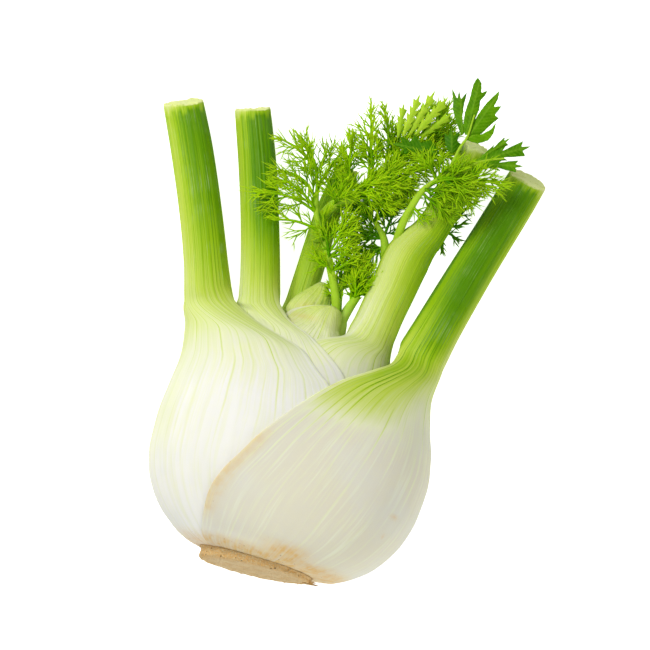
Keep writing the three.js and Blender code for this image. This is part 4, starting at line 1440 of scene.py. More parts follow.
@dataclass
class SprayGrower:
    """Grows the strands of one spray."""

    spray: Spray
    habit: Habit
    strands: Strands
    rng: random.Random
    # Painted light and shade by depth: threads behind the level get a deeper green tone, those in front of it
    # a lighter one.
    level: float = 0.0  # the depth at which the tone is even: what lies behind it is deeper green
    painted_depth_shade: float = 0.07  # change of tone for each millimetre of depth

    def __post_init__(self) -> None:
        """Works out the spray's plane, bow and arch as the plain model does."""
        s = self.spray
        self.foot, tip, way = (np.array(p, float) for p in (s.foot, s.tip, s.way))
        self.length = float(np.linalg.norm(tip - self.foot))
        self.ahead = (tip - self.foot) / self.length
        flat = unit(np.array((0, 0, 1.0)) - self.ahead * self.ahead[2])
        turn = Matrix.Rotation(math.radians(s.roll), 3, Vector(self.ahead))
        self.normal = np.array(turn @ Vector(flat))
        self.aside = np.cross(self.normal, self.ahead)
        off = way - self.foot
        u = float(off @ self.ahead)
        bend = u * (self.length - u)
        self.bow, self.arch = (float(off @ axis) / bend for axis in (self.aside, self.normal))

    def rib(self, share: Any) -> Array:
        """Finds points of the rib.

        Args:
            share: Their share of its length.

        Returns:
            The points.
        """
        a = np.atleast_1d(np.asarray(share, float))[:, None] * self.length
        bend = a * (self.length - a)
        return self.foot + self.ahead * a + (self.aside * self.bow + self.normal * self.arch) * bend

    def grow(self) -> None:
        """Grows the rib and all that it bears."""
        h, s, rng = self.habit, self.spray, self.rng
        tone = rng.uniform(0.0, 1.0)
        self.strands.add(self.rib(np.linspace(0, 1, 10)), h.rib, tone, (0, 0.5))
        count = round(s.count * h.density)
        for k in range(count):
            share = h.bare + (1 - h.bare) * (k + 0.5 + rng.uniform(-0.3, 0.3)) / count
            at, after = self.rib(share)[0], self.rib(min(share + 0.02, 1.02))[0]
            tangent = unit(after - at)
            hand = 1 if k % 2 else -1
            out = math.radians(rng.gauss(0, h.spread))
            side = self.aside * hand * math.cos(out) + self.normal * math.sin(out)
            lean = math.radians(h.lean[0] + (h.lean[1] - h.lean[0]) * share + rng.uniform(-9, 9))
            way = unit(tangent * math.cos(lean) + side * math.sin(lean))
            long = s.size * (0.55 + 0.45 * math.sin(math.pi * (0.2 + 0.65 * share))) * rng.uniform(0.7, 1.2)
            long *= 1 - 0.5 * share**2
            self.branch(at, way, tangent, long, 0, tone + rng.uniform(-0.25, 0.25), 0.1 + 0.4 * share)
        self.branch(self.rib(0.97)[0], self.ahead, self.ahead, s.size * 0.25, 1, tone, 0.6)
        for _ in range(h.wisps):
            lean, out = math.radians(rng.uniform(-34, 34)), rng.uniform(-0.4, 0.4)
            way = unit(self.ahead * math.cos(lean) + self.aside * math.sin(lean) + self.normal * out)
            at = self.rib(rng.uniform(0.7, 0.96))[0]
            self.branch(at, way, self.ahead, s.size * rng.uniform(0.5, 0.85), 2, tone, 0.5)

    def branch(
        self, at: Array, way: Array, toward: Array, long: float, level: int, tone: float, tip: float
    ) -> None:
        """Grows a strand and the finer strands on its sides.

        Args:
            at: Where it starts.
            way: Its direction there.
            toward: The direction that it curls to.
            long: Its length.
            level: 0 for a pinnule, 1 for a thread, 2 for a side thread.
            tone: How light it is.
            tip: How near its foot is to the frond's tips, from 0 to 1.
        """
        h, rng = self.habit, self.rng
        wander = np.array([rng.uniform(-1, 1) for _ in range(3)])
        curl = (toward + wander * 0.5) * h.curl * long
        s = np.linspace(0, 1, 5 if level == 0 else 4)[:, None]
        path = at + way * s * long + curl * s * s
        reach = min(1.0, tip + 0.45)
        # Painted shade: the tone darkens for threads further back and lightens for those further forward.
        shaded_tone = min(max(tone + self.painted_depth_shade * (float(at[2]) - self.level), 0), 1)
        self.strands.add(path, (h.radii[level], h.radii[level] * h.thin), shaded_tone, (tip, reach))
        if level >= len(h.spacing):
            return
        count = int(long / h.spacing[level])
        across = unit(np.cross(way, self.normal + wander * 0.25))
        for k in range(count):
            share = 0.1 + 0.75 * (k + rng.uniform(0.2, 0.8)) / max(count, 1)
            size = long * h.ratio[level] * (1.15 - 0.75 * share) * rng.uniform(0.6, 1.3)
            if size < h.least:
                continue
            foot = at + way * share * long + curl * share * share
            local = unit(way + curl * 2 * share / long)
            out = math.radians(rng.gauss(0, h.spread))
            hand = 1 if k % 2 else -1
            side = across * hand * math.cos(out) + np.cross(across, way) * math.sin(out)
            lean = math.radians(rng.uniform(*h.fork))
            child = unit(local * math.cos(lean) + side * math.sin(lean))
            lighter = tone + rng.uniform(-0.1, 0.1)
            self.branch(foot, child, local, size, level + 1, lighter, min(1, tip + 0.35 * share))


@dataclass
class Frond:
    """A frond: its stems, its sprays and the way it grows."""

    name: str
    slot: Slot
    stems: tuple[Stem, ...]
    sprays: tuple[Spray, ...]
    finish: FrondFinish
    habit: Habit = field(default_factory=Habit)
    seed: int = 0
    front: tuple[Spray, ...] = ()  # small sprays that stand before the stems
    twins: float = 0.0  # share of the sprays that have a second, shorter one beside them

    def build(self, growth: Growth, shaders: Shaders) -> list[Piece]:
        """Builds the stems and the threads.

        Args:
            growth: The geometry node trees.
            shaders: The shared shader groups.

        Returns:
            The finished pieces, without their body.
        """
        rng = random.Random(101 + self.seed)
        stems, threads = Strands(), Strands()
        for stem in self.stems:
            stems.add(flowing(np.array(stem.path), 6), stem.half, 0.8, (stem.pale, 0.1), 1.2)
        # The depth about which the threads' painted shading is even.
        level = sum(spray.way[2] for spray in self.sprays) / len(self.sprays)
        for spray in self.sprays + self.front:
            SprayGrower(spray, self.habit, threads, rng, level).grow()
            if rng.random() < self.twins:
                SprayGrower(self.twin(spray, rng), self.habit, threads, rng, level).grow()
        made = []
        parts = (("stems", stems, 14, STEM), ("threads", threads, 4, self.finish))
        for part, strands, sides, finish in parts:
            piece = strands.piece(f"{self.name}_{part}")
            made.append(grown(piece, growth.threads, Sides=sides, Material=finish.build(shaders)))
        return made

    @staticmethod
    def twin(spray: Spray, rng: random.Random) -> Spray:
        """Makes a shorter spray from the same foot, turned a little and nearer the front.

        Args:
            spray: The spray that it stands beside.
            rng: The frond's random numbers.

        Returns:
            The new spray.
        """
        foot, way, tip = (np.array(p, float) for p in (spray.foot, spray.way, spray.tip))
        turn = math.radians(rng.choice((-1, 1)) * rng.uniform(12, 24))
        c, s = math.cos(turn), math.sin(turn)
        spin = np.array(((c, -s, 0), (s, c, 0), (0, 0, 1)))
        way, tip = (foot + spin @ (p - foot) * 0.82 + (0, 0, 0.6) for p in (way, tip))
        count = max(3, spray.count - 1)
        return Spray(spray.foot, tuple(way), tuple(tip), -spray.roll, count, spray.size * 0.9)


# ---- broad leaflets


@dataclass(frozen=True)
class Leaflet:
    """A broad leaflet: its outline seen from the front, its depth, how far it leans away and its midrib."""

    outline: tuple[Pair, ...]
    depth: float
    lean: float
    rib: tuple[Pair, Pair]

    @classmethod
    def lance(cls, foot: Pair, tip: Pair, wide: float, lobes: int, depth: float) -> "Leaflet":
        """Makes a slender leaflet whose lobes point forward.

        Args:
            foot: Where it starts, seen from the front.
            tip: Where it ends.
            wide: How far its lobes reach to each side.
            lobes: How many there are on a side.
            depth: Its depth.

        Returns:
            The leaflet.
        """
        a, way = np.array(foot, float), np.array(tip, float) - np.array(foot, float)
        side = unit(np.array((-way[1], way[0])))
        rows = []
        for hand in (-1, 1):
            row = [a + side * hand * wide * 0.16]
            for k in range(lobes):
                start = 0.14 + 0.66 * k / lobes + 0.02 * hand
                reach = wide * math.sin(math.pi * (0.28 + 0.6 * start))
                row.append(a + way * start + side * hand * reach * 0.42)
                row.append(a + way * (start + 0.8 / lobes) + side * hand * reach)
            row.append(a + way * 0.84 + side * hand * wide * 0.3)
            rows.append(row)
        outline = [*rows[0], a + way, *reversed(rows[1])]
        return cls(tuple(tuple(float(v) for v in at) for at in outline), depth, 0.0, (foot, tip))


@dataclass
class Leaflets:
    """A tuft of broad, cut leaflets."""

    name: str
    slot: Slot
    finish: LeafletFinish
    leaflets: tuple[Leaflet, ...]
    thick: float = 0.5
    cell: float = 0.42  # size of the blade's faces
    arch: float = 0.9  # how far a blade's sides stand back from its midrib
    rounding: float = 0.35  # part of a full rounding, so that lobes keep their points
    tooth: float = 0.07
    shift: Pair = (0.0, 0.0)  # of the whole tuft, in millimetres

    def edge_of(self, leaflet: Leaflet, rng: random.Random) -> Array:
        """Rounds a leaflet's outline and cuts fine teeth into it.

        Args:
            leaflet: The leaflet.
            rng: The tuft's random numbers.

        Returns:
            The outline's points.
        """
        p = np.array(leaflet.outline, float)
        closed = np.concatenate([p[-1:], p, p[:2]])
        t = np.linspace(0, 1, 6, endpoint=False)[:, None]
        path = []
        for a, b, c, d in zip(closed, closed[1:], closed[2:], closed[3:]):
            m, n = (c - a) * 0.5 * self.rounding, (d - b) * 0.5 * self.rounding
            leaving = (2 * t**3 - 3 * t**2 + 1) * b + (t**3 - 2 * t**2 + t) * m
            path.append(leaving + (3 * t**2 - 2 * t**3) * c + (t**3 - t**2) * n)
        edge = np.concatenate(path)
        along = unit(np.roll(edge, -1, axis=0) - np.roll(edge, 1, axis=0))
        out = np.stack([along[:, 1], -along[:, 0]], axis=-1)
        cuts = [(0.5 + rng.random()) * (1 if k % 3 == 0 else -0.25) for k in range(len(edge))]
        return edge + out * (self.tooth * np.array(cuts))[:, None] * self.handed(p)

    @staticmethod
    def handed(p: Array) -> int:
        """Returns 1 for an outline that runs anticlockwise and -1 for one that doesn't."""
        q = np.roll(p, -1, axis=0)
        return 1 if float(np.sum(p[:, 0] * q[:, 1] - q[:, 0] * p[:, 1])) > 0 else -1

    def sheet_of(self, edge: Array) -> bmesh.types.BMesh:
        """Cuts an outline into small flat faces.

        Args:
            edge: The outline's points.

        Returns:
            The sheet.
        """
        sheet = bmesh.new()
        sheet.faces.new([sheet.verts.new((x, y, 0)) for x, y in edge])
        low, high = edge.min(axis=0), edge.max(axis=0)
        for axis in (0, 1):
            normal = Vector((1 - axis, axis, 0))
            for at in np.arange(low[axis] + self.cell, high[axis], self.cell):
                shape = sheet.verts[:] + sheet.edges[:] + sheet.faces[:]
                bmesh.ops.bisect_plane(sheet, geom=shape, plane_co=normal * float(at), plane_no=normal)
        sheet.verts.index_update()
        return sheet

    def relief_of(self, leaflet: Leaflet, xy: Array) -> tuple[Array, Array]:
        """Arches a leaflet, ripples it and raises its midrib and its side veins.

        Args:
            leaflet: The leaflet.
            xy: Its points seen from the front.

        Returns:
            The points' depths, and how much each lies on a vein.
        """
        foot, tip = (np.array(p, float) for p in leaflet.rib)
        way = unit(tip - foot)
        side = np.array((-way[1], way[0]))
        off, far = (xy - foot) @ side, (xy - foot) @ way
        width = max(float(np.abs(off).max()), 1.0)
        ridge = np.exp(-((off / 0.28) ** 2))
        fold = np.abs(off) * 0.9 - far
        branch = np.exp(-((np.abs((fold / 1.7 + 0.5) % 1 - 0.5) / 0.16) ** 2)) * (1 - ridge)
        wave = 0.16 * np.sin(far * 0.55 + off * 0.4)
        rise = -self.arch * (off / width) ** 2 + wave + 0.22 * ridge + 0.08 * branch
        z = leaflet.depth + leaflet.lean * (xy[:, 1] - leaflet.outline[0][1]) + rise
        return z, np.clip(ridge + 0.55 * branch, 0, 1)

    def blade(self, leaflet: Leaflet, rng: random.Random, work: bmesh.types.BMesh, tone: float) -> None:
        """Adds one leaflet to a mesh, as a closed arched blade.

        Args:
            leaflet: The leaflet.
            rng: The tuft's random numbers.
            work: The mesh, in millimetres in the bulb's frame.
            tone: How light the leaflet is.
        """
        sheet = self.sheet_of(self.edge_of(leaflet, rng))
        z, vein = self.relief_of(leaflet, np.array([v.co[:2] for v in sheet.verts]))
        tones, veins = (work.verts.layers.float[name] for name in ("tone", "vein"))
        sides = []
        for lift in (self.thick / 2, -self.thick / 2):
            made = []
            for k, v in enumerate(sheet.verts):
                corner = work.verts.new((v.co.x, v.co.y, z[k] + lift))
                corner[tones], corner[veins] = tone, vein[k]
                made.append(corner)
            sides.append(made)
        front, back = sides
        for face in sheet.faces:
            row = [v.index for v in face.verts]
            work.faces.new([front[k] for k in row])
            work.faces.new([back[k] for k in reversed(row)])
        for line in sheet.edges:
            if line.is_boundary:
                a, b = (v.index for v in line.verts)
                work.faces.new([front[a], front[b], back[b], back[a]])
        sheet.free()

    def build(self, shaders: Shaders) -> Piece:
        """Builds the tuft.

        Args:
            shaders: The shared shader groups.

        Returns:
            The finished piece, without its body.
        """
        rng = random.Random(7)
        work = bmesh.new()
        for name in ("tone", "vein"):
            work.verts.layers.float.new(name)
        for leaflet in self.leaflets:
            self.blade(leaflet, rng, work, rng.uniform(0.1, 0.9))
        bmesh.ops.translate(work, verts=work.verts, vec=(*self.shift, 0))
        work.verts.index_update()
        points = laid_down(np.array([v.co[:] for v in work.verts]))
        for v, at in zip(work.verts, points):
            v.co = at
        mesh = bpy.data.meshes.new(self.name)
        face_out(work, mesh)
        mesh.materials.append(self.finish.build(shaders))
        return in_scene(self.name, mesh)


# ---- the bulb's tables


HEART_FINISH = LeafFinish(
    "heart_leaf", flesh="f4f4dc", ribs=26.0, seed=11.0, bloom=0.4, vein=0.4, stripe=0.06, crease=7.0
)
# Painted light and shade round the left stalks: paler where the key light falls on them, greener where they
# are shaded.
LEFT_SHADE = Curve((-1, 0.05), (-0.4, -0.2), (0.15, -0.26), (0.4, -0.12), (0.6, 0.04), (1, 0.1))

LEAVES = [
    Leaf(
        name="heart_leaf_front",
        slot=Slot.HEART,
        finish=replace(HEART_FINISH, name="heart_leaf_outer", flesh="f6f5e2", seed=12.0, crease=6.0),
        side=90,
        reach=Curve(
            (2.4, 125), (40, 122), (70, 116), (85, 106), (92, 95), (98, 84), (101.5, 74), (104.5, 52),
            (106, 25), (106.5, 10),
        ),
        thick=Curve((2.4, 1.2), (20, 2.4), (80, 3), (98, 2.8), (106.5, 1.2)),
        spots=((-10, 99.6, 6, 1.2, 0.4), (-14, 97, 2, 1, 0.4)),
        neck=106.5,
        green=Curve((70, 0.1), (92, 0.16), (100, 0.28), (106.5, 0.4)),
    ),
    Leaf(
        name="leaf_back",
        slot=Slot.SHEATH,
        finish=LeafFinish("back_leaf", ribs=24.0, seed=21.0, bloom=0.2),
        side=216,
        reach=Curve((2.4, 135), (40, 125), (70, 110), (84, 92), (92, 68), (97, 44), (101, 28), (103.5, 20)),
        thick=Curve((2.4, 1.6), (20, 3.2), (60, 5), (80, 7.5), (92, 11), (98, 14.5), (103.5, 16)),
        neck=103.5,
        green=Curve((88, 0.2), (95, 0.4), (103, 0.5), (120, 0.64), (163, 0.8)),
        depth=0.95,
        stalk=(
            (-12.8, 103.5, -12.5, 5.7), (-12.6, 120, -13.5, 5.5), (-12.4, 142, -13, 5.2),
            (-10, 163, -12.5, 4.6),
        ),
        cut=12,
    ),
    Leaf(
        name="leaf_right_inner",
        slot=Slot.SHEATH,
        finish=LeafFinish("right_inner_leaf", ribs=34.0, seed=31.0, bloom=0.42),
        side=0,
        back=0.97,
        reach=Curve(
            (2.4, 138), (50, 130), (70, 124), (84, 117), (90, 103), (94, 84), (96.5, 62), (99, 44),
            (101, 30),
        ),
        outline=Curve(
            (2.4, 15), (8, 30), (15, 37), (25, 42), (40, 45), (60, 43.5), (75, 37), (85, 31.5), (93, 28),
            (101, 27),
        ),
        neck=101,
        green=Curve((80, 0.12), (92, 0.26), (101, 0.44), (120, 0.66), (145, 0.78), (162, 0.8), (184, 0.86)),
        # Painted light and shade round the stalk: paler toward its front left edge, where the key light falls.
        shade=Curve((-1, 0), (0.1, 0.06), (0.4, 0.02), (0.65, -0.14), (0.85, -0.3), (1, -0.34)),
        depth=0.9,
        stalk=(
            (17.9, 101, 3, 9.3), (19.1, 110.6, 3.4, 9), (20.7, 121, 3.8, 9.1), (22.2, 132.5, 4, 9.5),
            (24.2, 138.5, 3.8, 8.6), (27.4, 145, 3.4, 7.1), (29.8, 152, 3, 6.5), (32.8, 166.5, 1.6, 6.3),
            (36.1, 184.3, -1, 6.1),
        ),
        cut=28,
    ),
    Leaf(
        name="leaf_left_inner",
        slot=Slot.SHEATH,
        finish=LeafFinish("left_inner_leaf", ribs=30.0, seed=41.0, bloom=0.3),
        side=180,
        back=0.97,
        reach=Curve(
            (2.4, 138), (40, 130), (65, 124), (79, 112), (86, 96), (91.5, 74), (96, 42), (100, 24),
            (102, 16),
        ),
        outline=Curve(
            (2.4, 17), (8, 33), (15, 39), (25, 43), (40, 45), (60, 44), (75, 41), (85, 38.6), (93, 36.9),
            (102, 36.5),
        ),
        neck=102,
        green=Curve((78, 0.06), (92, 0.2), (102, 0.38), (115, 0.62), (140, 0.88), (174, 0.9)),
        shade=LEFT_SHADE,
        depth=0.92,
        stalk=(
            (-28, 102, -1.5, 8.5), (-30.5, 111.4, -2, 8), (-36.7, 132, -3.9, 7.7), (-43.6, 152.3, -6, 7.6),
            (-52.2, 174.7, -8.6, 7.2),
        ),
        cut=17,
    ),
    Leaf(
        name="leaf_left_outer",
        slot=Slot.SHEATH,
        finish=LeafFinish("left_outer_leaf", ribs=34.0, seed=51.0, bloom=0.5, flesh="fbfbf2"),
        side=180,
        back=0.96,
        reach=Curve(
            (2.4, 140), (20, 128), (35, 121), (52, 118), (62, 112), (72.8, 103), (76.5, 95), (85, 74),
            (90.2, 46), (93.2, 28), (95.5, 14),
        ),
        outline=Curve(
            (2.4, 24.3), (3, 27), (4, 29.8), (6, 33.8), (8, 36.6), (12, 41.5), (18, 46.5), (26, 50.7),
            (36, 53.1), (48, 53.6), (60, 52.7), (72, 51.6), (84, 53.3), (92, 55.6), (95.5, 56.8),
        ),
        flush=0.13,
        neck=95.5,
        green=Curve((60, 0), (80, 0.13), (92, 0.34), (100, 0.53), (115, 0.68), (140, 0.82), (170, 0.9)),
        shade=LEFT_SHADE,
        depth=0.92,
        stalk=(
            (-46.9, 95.5, -0.2, 9.9), (-52.9, 111.4, -1.4, 8.8), (-61.3, 131.8, -4.2, 8.5),
            (-70.7, 152.6, -8, 8.4), (-79.3, 169.8, -11.8, 8.1),
        ),
        cut=26,
        foot=0.5,
    ),
    Leaf(
        name="leaf_right_outer",
        slot=Slot.SHEATH,
        # Its beige flesh is partly the old leaf's own tint and partly painted shade, darker than the other
        # leaves' flesh.
        finish=LeafFinish("right_outer_leaf", flesh="ece8d2", ribs=36.0, seed=61.0, bloom=0.3, vein=0.5),
        side=0,
        back=0.92,
        reach=Curve(
            (2.4, 140), (13.4, 130), (20.8, 126), (29.7, 120), (37.2, 114), (46.6, 107), (56.3, 98),
            (67.3, 85), (76.7, 69), (85.1, 46), (92.5, 24), (97, 14),
        ),
        outline=Curve(
            (2.4, 24.3), (3, 30.8), (4, 33.2), (6, 36.9), (8, 39.8), (12, 44.5), (18, 49.1), (26, 53.1),
            (36, 55.5), (48, 56.2), (60, 54.3), (72, 50.4), (84, 47.9), (92, 48.3), (97, 48.9),
        ),
        neck=97,
        green=Curve((50, 0), (68, 0.09), (84, 0.28), (95, 0.49), (108, 0.76), (130, 0.93), (170, 0.95)),
        # Painted light and shade round the stalk: a pale painted highlight along its right side and a deeper
        # green toward its front.
        shade=Curve(
            (-1, 0), (-0.1, -0.2), (0.04, -0.36), (0.18, -0.26), (0.38, 0), (0.64, 0.1), (0.85, -0.04),
            (1, -0.12),
        ),
        depth=0.92,
        stalk=(
            (38.5, 97, 0.5, 10.3), (41.7, 111.1, -0.4, 9.4), (46.8, 131.6, -2.7, 8.9),
            (52.2, 152.2, -5.7, 8.5), (56.3, 167.7, -8.2, 8.4), (59.4, 179.7, -10.3, 8.1),
        ),
        cut=30,
        band=0.32,
        foot=0.85,
        edge=0.6,
        spots=((46.3, 31.4, 1.5, 0.7, 0.8), (4.6, 74.3, 5, 1.1, 0.5), (44.2, 24, 0.6, 0.6, 0.6)),
    ),
]

NEST = Nest(
    left=Curve(
        (2.4, 9), (7, 15), (15, 20), (30, 26), (45, 29), (60, 29), (75, 27), (85, 24), (92, 20), (98, 16.5),
    ),
    right=Curve(
        (2.4, 9), (7, 15), (15, 19), (30, 25), (45, 27), (60, 26), (75, 22), (85, 15.5), (92, 9.6), (98, 4),
    ),
    front=Curve(
        (2.4, 8), (7, 14), (15, 19), (30, 24.5), (45, 26), (60, 24.5), (75, 20), (85, 14.5), (92, 10),
        (98, 6.5),
    ),
    back=Curve(
        (2.4, 8), (7, 13), (15, 17), (30, 21), (45, 22), (60, 20), (75, 15), (85, 10), (92, 6.5), (98, 4),
    ),
    leaves=LEAVES,
)

GREEN = FrondFinish("frond_green")
STEM = FrondFinish("frond_stem", deep="98c81c", full="b8de3c", tip="e4f2a0")
FORK_GREEN = FrondFinish("frond_fork_green", deep="408800", full="92cc00", tip="bce61c")
BUSHY = Habit(density=2.4, radii=(0.36, 0.3, 0.26), spacing=(1.15, 1.9))
# Painted shade: a darker copy of the frond green for the fronds that lie behind the stalks, in shade.
SHADED_GREEN = FrondFinish("frond_shade", deep="468c04", full="74b80a", tip="9fd026")

